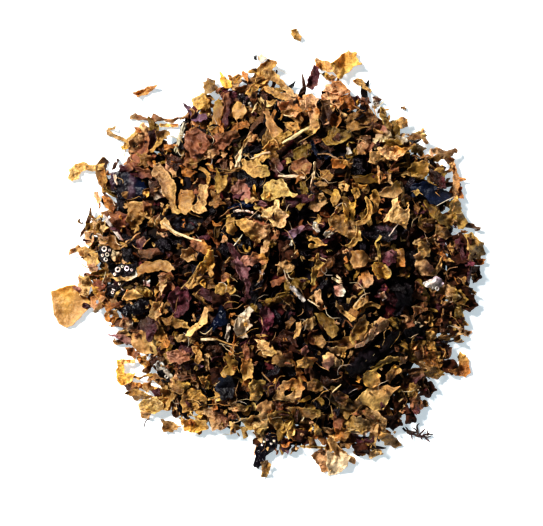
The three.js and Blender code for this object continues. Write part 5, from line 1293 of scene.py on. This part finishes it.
# The pieces that have nodes of their own: node, finish and flakes.
colouredPieces = [
    ("navy_chip_right", "inky", [
        cut("navy", 137, 58, [3, 8, 10, 13, 20, 15, 32, 10, 43, 5, 50, 1, 43, -5, 33, -10, 25, -7, 20, -1, 9, 0],
            blots=0.0, **smooth),
        thread("greyCream", 169, 48, 187, 58, 0.9, bend=10),
    ]),
    ("glossy_black_leaf", "glossy", [
        cut("black", -158, 82, [8, 2, 20, 0, 30, -3, 36, -13, 38, -23, 30, -28, 18, -28, 8, -25, 0, -18, -1, -8],
            tip="navy", blot="lilac", blots=0.35, roll=-1.6, curl=-0.8, folds=0, crumple=0.8),
        # a pale flake on the leaf, a painted highlight
        cut("greyCream", -155.5, 80, [3, 0, 5, -9, 3.5, -11, 1, -7], folds=0, crumple=0.2),
    ]),
    ("black_strap_centre", "glossy", [
        cut("navy", -41, 45, [6, 4, 14, 7, 25, 7, 31, 5, 23, 1, 13, 0, 5, -1], blots=0.0, folds=0, roll=-0.4),
        band("black", -36, 40, -6, 35, 3.4, bend=-60, roll=-0.5),
        # a pale band along the black strap, a painted highlight
        band("greyCream", -34, 42.5, -14, 41.5, 1.5, bend=-40, crumple=0.2),
        cut("black", -14, 41, [6, -2, 8, -8, 3, -6], blot="greyCream"),
    ]),
    ("blue_black_wedge", "glossy", [
        cut("navy", -47, -48, [5, -10, 9, -20, 1, -24, -11, -30, -17, -32, -9, -20, -3, -10], blots=0.0, roll=-0.8,
            folds=1),
    ]),
    ("black_finger", "glossy", [
        cut("black", -2, -180, [7, 4, 14, -6, 11, -15, 2, -22, -3, -32, -8, -39, -12, -34, -12, -20, -8, -12, -3,
            -6], blots=0.2, roll=-0.7, folds=0, crumple=0.6, hollow=0.05),
        *dots([2.4, -0.2, 2, -2, 0.2, -1.9], (-5, -188), (-2, -186), (2, -190), (-7, -191),
              (5, -187)),
    ]),
    ("black_chip_right", "dark", [
        cut("black", 98, 22, [8, 6, 20, 8, 30, 2, 32, -6, 22, -10, 10, -8, 2, -6], blot="lilac"),
        thread("greyCream", 120, 18, 130, 30, 1.2),
    ]),
    ("black_leaf_left", "glossy", [
        cut("black", -150, -56, [8, 7, 22, 11, 32, 9, 30, -2, 18, -6, 6, -8], roll=-0.6, folds=1),
    ]),
    ("black_chip_left", "inky", [cut("black", -98, 32, [10, 6, 26, 4, 32, -4, 20, -10, 8, -8])]),
    ("black_chip_low", "inky", [
        cut("black", -50, -124, [12, 4, 18, -6, 16, -20, 4, -22, -4, -12], tip="navy"),
    ]),
    ("maroon_wedge", "wine", [
        cut("burgundy", -128, -66, [8, 3, 20, 0, 16, -10, 12, -22, 7, -22, 6, -12, -3, -10], tip="umber", folds=1),
    ]),
    ("mauve_fork", "wine", [
        cut("burgundy", -44, 14, [8, -4, 16, -14, 22, -22, 14, -24, 6, -12], tip="burgundy", folds=0, curl=-0.3,
            twist=0.2),
        cut("mauve", -36, -8, [6, 5, 12, -2, 18, -6, 17, -14, 19, -22, 18, -36, 14, -36, 14, -25, 9, -16, 4, -6],
            tip="burgundy", folds=0, curl=-0.3, twist=0.2),
        cut("rose", -26, -2, [8, 0, 10, 4, 20, 3, 27, -2, 28, -8, 20, -8, 15, -6, 10, -11, 4, -10, -2, -5],
            tip="orange", folds=0, curl=-0.3, crumple=1.2),
    ]),
    ("magenta_ruffle", "wine", [
        cut("crimson", -6, -50, [8, -2, 12, -10, 12, -20, 6, -26, 6, -32, -1, -30, 0, -20, -4, -12], tip="burgundy",
            blot="mauve", **crumpled),
    ]),
    ("crimson_ruffle", "wine", [
        cut("crimson", -98, -38, [8, 6, 18, 2, 22, -6, 20, -16, 14, -24, 6, -26, 2, -16, -2, -6], tip="burgundy",
            blot="mauve", **crumpled),
    ]),
    ("rust_ruffle", "wine", [
        cut("rust", -74, 18, [10, -4, 18, -12, 14, -20, 4, -16, -4, -10], tip="orange", **crumpled),
    ]),
    ("mauve_leaf", "wine", [
        cut("lilac", 19, 21, [5, 3, 13, 7, 18, 7, 13, 0, 6, -7, 2, -5], tip="mauve", folds=0),
    ]),
    ("rose_disc", "wine", [
        cut("rose", -36, 67, [6, 7, 14, 8, 20, 1, 18, -7, 20, -13, 11, -14, 4, -11, -2, -4], blot="rust", blots=0.6,
            folds=0, roll=-0.7),
    ]),
    ("lilac_wedge", "wine", [
        cut("lilac", -86, 153, [8, -4, 11, -9, 18, -13, 24, -11, 25, -17, 18, -21, 10, -19, 6, -11], folds=1),
    ]),
    ("red_strap", "wine", [
        cut("burgundy", -46, 162, [7, 0, 10, -8, 8, -20, 6, -32, 2, -42, 0, -28, 2, -12], tip="rust"),
    ]),
    ("magenta_bud", "wine", [
        cut("crimson", 114, -4, [3, 6, 9, 8, 14, 7, 15, 1, 12, -5, 6, -8, 1, -5], tip="mauve", roll=-0.9, curl=-0.8),
    ]),
    ("maroon_curl_right", "wine", [
        band("burgundy", 203, -8, 201, -29, 4, bend=-30),
        cut("burgundy", 192, 14, [5, -4, 6, -14, 10, -20, 16, -22, 14, -26, 7, -26, 2, -18, 0, -10], tip="crimson",
            folds=1),
    ]),
    ("maroon_strap_right", "dark", [
        cut("umber", 162, 86, [8, -2, 16, -10, 18, -20, 10, -20, 2, -12], tip="burgundy"),
    ]),
    ("red_strap_top", "wine", [
        cut("burgundy", 46, 191, [5, -3, 6, -11, 4, -21, -2, -27, -8, -23, -6, -15, -2, -7], tip="crimson",
            blot="rose"),
    ]),
    ("brown_strap_top", "wine", [
        cut("umber", 53, 154, [9, 1, 11, -12, 9, -26, 3, -28, -1, -20], tip="brown", folds=2),
    ]),
    ("russet_chip", "wine", [
        cut("rust", -54, 118, [12, 4, 24, 6, 26, 0, 18, -6, 10, -16, 0, -12], tip="brown", **crumpled),
    ]),
    ("mottled_ruffle", "wine", [
        cut("rust", -82, 122, [10, 4, 20, -2, 26, -12, 18, -22, 6, -26, -2, -16], blot="rose", **crumpled),
    ]),
    ("pink_horn", "wine", [
        cut("mauve", -164, -82, [10, 1, 18, 1, 26, -2, 28, -8, 22, -10, 16, -6, 10, -2], tip="rose", folds=0),
    ]),
    ("red_leaf_low", "wine", [
        cut("rust", 142, -146, [6, 6, 12, 2, 12, -10, 8, -16, 1, -12], tip="crimson", blot="rose"),
    ]),
    ("rose_ruffle_low", "wine", [
        cut("rose", -102, -98, [12, 2, 24, 0, 26, -8, 16, -12, 4, -10], tip="rust", **crumpled),
    ]),
    ("rose_roll", "wine", [
        cut("pinkTan", 108, 106, [10, 5, 22, 2, 32, 0, 29, -6, 20, -12, 12, -13, 4, -6], tip="orange", blot="rust",
            **crumpled),
        band("pinkTan", 118, 95, 136, 100, 2.4, bend=10),
    ]),
    ("long_straw", "pale", [
        thread("cream", 14, 110.5, 41, 126, 3.6, tips=(0.7, 0.9)),
        thread("cream", -18, 94, 2, 102, 2.2, tips=(0.5, 0.9)),
    ]),
    ("short_straw", "pale", [thread("cream", 10, 77.5, 37, 75.5, 3.4, tips=(0.6, 1.0))]),
    ("cream_strap", "pale", [
        cut("cream", -18, 119, [2, -1, -4, -11, -8, -20, -10, -33, -15, -33, -15, -23, -10, -15, -6, -7], tip="gold",
            folds=0),
    ]),
    ("grey_stalk", "pale", [band("greyCream", -84, 132, -93, 101, 4.4, crumple=0.4)]),
    ("pink_stalk", "pale", [
        cut("greyCream", -165, 39, [4, -2, 9, -10, 17, -20, 24, -27, 17, -25, 9, -16, 2, -7], tip="rose",
            blot="white", folds=0),
    ]),
    ("cream_twig", "pale", [thread("cream", -104, 29, -66, 11, 2.4, bend=28)]),
    ("white_stalk", "pale", [band("white", 23, -32, 36, -47, 4, crumple=0.4)]),
    ("thin_stalk", "pale", [
        thread("cream", -67, -85, -50, -85, 3),
        thread("tan", -52, -85, -30, -92, 1.8),
        thread("cream", -46, -89, -33, -102, 0.9),
    ]),
    ("pale_hook", "pale", [
        cut("tan", -138, 113, [-3, -4, -14, 3, -24, 7, -26, 12, -24, 15, -16, 16, -16, 13, -21, 12, -18, 9, -8, 4],
            tip="gold", folds=0, crumple=0.4),
    ]),
    ("brown_stalk", "wine", [
        cut("brown", -140, 142, [6, 1, 12, -2, 22, -4, 24, 0, 28, -2, 34, -5, 48, -5, 60, -1, 60, -6, 44, -10, 22,
            -9, 10, -6, 0, -5], tip="rust", blot="pinkTan", folds=0),
    ]),
    ("pale_chip", "pale", [
        cut("cream", 105, 105, [0, 11, 5, 15, 8, 24, 12, 24, 17, 17, 19, 13, 13, 8, 5, 6, 3, -1], tip="rose",
            folds=1),
    ]),
    ("cream_coral", "pale", [
        cut("cream", -30, -60, [8, 5, 12, 9, 16, 4, 12, -4, 14, -12, 8, -16, 10, -23, 4, -24, -2, -22, -4, -14, -2,
            -6], tip="greyCream", blot="tan", **crumpled),
    ]),
    ("crusted_chip_a", "dark", [
        cut("black", -169, 8, [9, 1, 14, -6, 10, -17, 3, -16, -2, -8], blots=0.2),
        ring(-164, 5, 2.9),
        ring(-161, -0.5, 2.2),
        ring(-162.5, -5.5, 2.3),
        ring(-166, -1, 1.4),
        ring(-159, 4, 1.3),
    ]),
    ("crusted_chip_b", "dark", [
        cut("black", -161, -8, [11, -1, 23, -2, 31, -1, 28, -10, 19, -16, 7, -14, 1, -8], blots=0.2),
        ring(-150, -15.5, 3),
        ring(-141, -14.5, 2.7),
        ring(-145.5, -12.5, 1.5),
        ring(-153, -20, 1.6),
        ring(-136, -16, 1.4),
    ]),
    ("crusted_chip_c", "dark", [
        cut("black", -162, -34, [8, 8, 18, 7, 31, 5, 28, -2, 18, -7, 8, -10, 0, -7], blots=0.2, tip="burgundy"),
        ring(-154, -33, 3.5),
        ring(-145, -34, 2.6),
        ring(-140.5, -31, 2),
        ring(-156, -38.5, 1.8),
        ring(-134, -31.5, 2.2),
        ring(-149, -30, 1.4),
    ]),
    ("crusted_bar", "pale", [
        band("white", -111, -108, -98, -128, 9, bend=5),
        cut("black", -112, -118, [6, 2, 14, -10, 6, -12]),
        ring(-102, -123, 2.2),
    ]),
    ("net_crust", "pale", [
        cut("white", 155, -29, [7, 3, 13, 7, 19, 5, 22, -1, 17, -5, 10, -6, 4, -5], crumple=2.2, folds=1),
        ring(169.5, -34.5, 2.4),
    ]),
    ("crusted_edge_flake", "pale", [
        cut("pinkTan", 43, -203, [9, 6, 20, 5, 23, -7, 20, -18, 11, -17, 6, -8], tip="tan", folds=0),
        cut("cream", 60, -199, [14, 1, 25, -6, 20, -15, 11, -23, 0, -25, -1, -13], blot="tan", blots=0.3, folds=0,
            crumple=1.2),
    ]),
    ("netted_strip", "pale", [
        cut("greyCream", -43, -84, [2, 12, 4, 18, 6, 10, 5, 2, 3, -4], blot="umber", crumple=2.0),
    ]),
    ("left_flake", "calm", [
        cut("tan", -219, -37, [7, 2, 17, 5, 25, 6, 33, -1, 35, -6, 43, -16, 35, -21, 29, -27, 21, -35, 15, -37, 7,
            -33, 2, -23, 1, -11], tip="amber", blots=0.12, folds=0, crumple=0.35, roll=1.0, curl=0.6, hollow=0.03,
            ragged=0.12),
        cut("burgundy", -188, -47, [6, -3, 12, -6, 5, -8, 0, -7], folds=0),
        cut("rose", -198, -32, [7, -1, 13, -7, 10, -9, 4, -5], folds=0),
    ]),
    ("left_arch", "golden", [
        cut("paleGold", -203, 77, [2, 8, 8, 14, 17, 16, 29, 13, 38, 14, 38, 9, 27, 7, 15, 6, 10, -1, 4, -4],
            tip="gold", folds=0),
    ]),
    ("crumb_top_left", "golden", [
        cut("gold", -137, 162, [7, 3, 15, 8, 25, 9, 21, 4, 15, -1, 5, -4], tip="orange", folds=0),
    ]),
    ("crumb_top", "golden", [cut("paleOlive", 23, 227, [6, 1, 11, -7, 10, -12, 3, -10, 0, -5], folds=0)]),
    ("crumb_top_right", "golden", [
        cut("gold", 85, 175, [5, 3, 10, 2, 13, -3, 19, -9, 19, -13, 11, -8, 5, -4], tip="paleGold", folds=0),
    ]),
    ("knob_right", "golden", [
        cut("gold", 129, 135, [6, 4, 12, 1, 12, -6, 5, -9, 0, -5], blot="rust", roll=-0.8, curl=-0.8),
    ]),
    ("brown_leaf_right", "wine", [
        cut("brown", 140, 116, [4, 5, 12, 8, 21, 4, 16, 0, 8, -2], tip="tan", folds=0),
    ]),
    ("stray_right", "golden", [
        cut("orange", 193, -112, [-1, 8, 2, 13, 7, 11, 10, 4, 11, -8, 5, -12, -3, -11, -13, -6, -12, -3, -3, -4],
            tip="gold", folds=1),
    ]),
    ("stray_low", "golden", [
        cut("gold", -8, -210, [6, 2, 12, -2, 10, -8, 7, -16, 1, -16, 2, -8], tip="goldBrown", blot="umber"),
    ]),
]
# They lie in the span of their node. under and over are how far from its middle, and each flake of a piece lies higher.
colouredRest = {"turning": 2, "lean": 0.1, "steepest": 0.4, "gap": 0.15, "sink": 84}
colouredSpan = {"under": 2.2, "over": 0.2, "each": 0.3, "most": 3}
for node, finish, pieces in colouredPieces:
    low, high = [corner[2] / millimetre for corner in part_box(node)]
    for order, p in enumerate(pieces):
        middle = (low + high) / 2 + colouredSpan["each"] * min(order, colouredSpan["most"])
        lay(p, span=(middle - colouredSpan["under"], middle + colouredSpan["over"]), **colouredRest)

# The branched sprig on the table: ends in steps, width and bend of each twig.
twigs = [(136, -176, 152, -182, 2.4, 20), (140, -182, 165, -184, 2.6, 25), (150, -182, 153, -171, 2.0, -30),
         (152, -182, 158, -175, 1.8, 30), (143, -179, 139, -174, 1.4, 40), (158, -183, 164, -189, 2.0, -40),
         (156, -183, 163, -179, 1.8, 30), (147, -181, 145, -188, 1.6, 0), (161, -184, 167, -181, 1.4, -20),
         (150, -181, 146, -175, 1.3, 20), (153, -183, 155, -189, 1.5, 30), (159, -183, 162, -176, 1.2, 0)]
sprigShape = {"tints": ["umber", "burgundy", "umber"], "tips": (0.9, 0.3), "wander": 0.06}
sprigRest = {"tries": 1, "turning": 0, "lean": 0.0, "gap": 0.1}
sprig = [thread(draw.choice(sprigShape["tints"]), *ends, wide, bend=bend, tips=sprigShape["tips"],
                wander=sprigShape["wander"]) for *ends, wide, bend in twigs]
for p in sprig:
    lay(p, **sprigRest)
print("coloured pieces laid")

fineFlakes = scattered("fines")

# Thin threads that lie over everything.
threads = {
    "count": 190, "length": (1.8, 6.0), "width": (0.11, 0.24), "far": 0.93, "bend": (-120, 120), "rise": (-0.3, 1.2),
    "sides": 5, "tips": (0.5, 0.4), "wander": 0.05, "tints": ["cream", "paleGold", "tan", "greyCream", "gold"],
}
threadRest = {"tries": 3, "turning": 90, "wander": 0.5, "lean": 0.5, "settle": 0.9, "steepest": 1.5, "upright": False,
              "gap": 0.1, "drop": -0.8}
threadPieces = []
for _ in range(threads["count"]):
    angle = between(0, 2 * math.pi)
    far = math.sqrt(draw.random()) * threads["far"] * radiusAt(angle)
    x, y = heap["centre"][0] + far * math.cos(angle), heap["centre"][1] + far * math.sin(angle)
    p = stalk(x, y, between(0, 360), between(*threads["length"]), between(*threads["width"]),
              draw.choice(threads["tints"]), bend=between(*threads["bend"]), rise=between(*threads["rise"]),
              sides=threads["sides"], tips=threads["tips"], wander=threads["wander"])
    threadPieces.append(lay(p, **threadRest))
print("threads laid")


# Everything as meshes.
inside = insideObject(frond["deep"])
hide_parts("golden_heap")
layers = {"under": underFlakes, "bed": bedFlakes, "rim": rimFlakes, "upper": upperFlakes, "golden": goldenFlakes,
          "fines": fineFlakes, "threads": threadPieces}
for name, pieces in layers.items():
    byFinish = {}
    for p in pieces:
        finish = finishOf.get(p["tint"], "calm" if p.get("calm") else "golden")
        # The bed, the flakes of painted shade and the dark flakes under the heap take the dull deep finish.
        if name == "bed" or p.get("paintedShade") or (name == "under" and finish == "dark"):
            finish = "deep"
        byFinish.setdefault(finish, []).append(p)
    for finish, some in byFinish.items():
        made = objectOf(name + "_" + finish, some, frond[finish])
        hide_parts("golden_heap")
        print(made.name, len(made.data.polygons))
for node, finish, pieces in colouredPieces:
    made = objectOf(node + "_look", pieces, frond[finish])
    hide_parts(node)
made = objectOf("dark_sprig_look", sprig, frond["wine"])
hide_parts("dark_sprig")
print("meshes made")

# Floor, light and camera. pixel is what a pixel spans at the height level, and middle is where the camera looks.
studio = {
    "floor": 3.0, "floorColour": (0.80, 0.80, 0.81), "floorRough": 0.8, "floorGlow": (0.80, 0.93, 1.0),
    "floorGlowStrength": 0.40, "paperScale": 40.0, "paperShade": 0.99, "paperStops": (0.3, 0.7),
    "sun": 5.3, "sunAngle": 12.0, "sunFrom": (-0.62, 0.50, 0.86), "sunColour": (1.0, 0.975, 0.93),
    "sky": 0.16, "skyColour": (0.86, 0.93, 1.0),
    "pixel": 0.24, "width": 543, "level": 0.01, "middle": (0.72, -2.26), "distance": 0.9, "sensor": 36,
    "nearest": 0.05, "farthest": 10,
}
floorMesh = bpy.data.meshes.new("floor")
half = studio["floor"] / 2
floorMesh.from_pydata([(-half, -half, 0), (half, -half, 0), (half, half, 0), (-half, half, 0)], [], [(0, 1, 2, 3)])
floorMaterial = bpy.data.materials.new("floor_white")
tree = nodeTree(floorMaterial)
place = add(tree, "ShaderNodeTexCoord").outputs["Object"]
faint = add(tree, "ShaderNodeTexNoise", {"Vector": place, "Scale": studio["paperScale"]})
shaded = tuple(studio["paperShade"] * value for value in studio["floorColour"])
paper = ramp(tree, faint.outputs["Fac"], list(zip(studio["paperStops"], (studio["floorColour"], shaded))))
floorShader = add(tree, "ShaderNodeBsdfPrincipled", {"Base Color": paper})
floorShader.inputs["Roughness"].default_value = studio["floorRough"]
floorShader.inputs["Emission Color"].default_value = (*studio["floorGlow"], 1)
floorShader.inputs["Emission Strength"].default_value = studio["floorGlowStrength"]
add(tree, "ShaderNodeOutputMaterial", {"Surface": floorShader.outputs[0]})
floorMesh.materials.append(floorMaterial)
floor = bpy.data.objects.new("floor", floorMesh)
bpy.context.collection.objects.link(floor)

sun = bpy.data.lights.new("sun", "SUN")
sun.energy, sun.angle, sun.color = studio["sun"], math.radians(studio["sunAngle"]), studio["sunColour"]
sunObject = bpy.data.objects.new("sun", sun)
sunObject.rotation_euler = Vector(studio["sunFrom"]).to_track_quat("Z", "Y").to_euler()
bpy.context.collection.objects.link(sunObject)
world = bpy.data.worlds.new("studio_air")
bpy.context.scene.world = world
world.use_nodes = True
air = world.node_tree.nodes["Background"]
air.inputs["Color"].default_value = (*studio["skyColour"], 1)
air.inputs["Strength"].default_value = studio["sky"]
bpy.context.scene.view_settings.view_transform = "Standard"
bpy.context.scene.view_settings.look = "High Contrast"

camera = bpy.data.cameras.new("camera")
camera.sensor_width = studio["sensor"]
seen = studio["width"] * studio["pixel"] * millimetre
camera.lens = studio["sensor"] * (studio["distance"] - studio["level"]) / seen
camera.clip_start, camera.clip_end = studio["nearest"], studio["farthest"]
cameraObject = bpy.data.objects.new("camera", camera)
lookAt = [(middle + shift) * millimetre for middle, shift in zip(studio["middle"], heap["shift"])]
cameraObject.location = [*lookAt, studio["distance"]]
bpy.context.collection.objects.link(cameraObject)
bpy.context.scene.camera = cameraObject

print("scene ready")
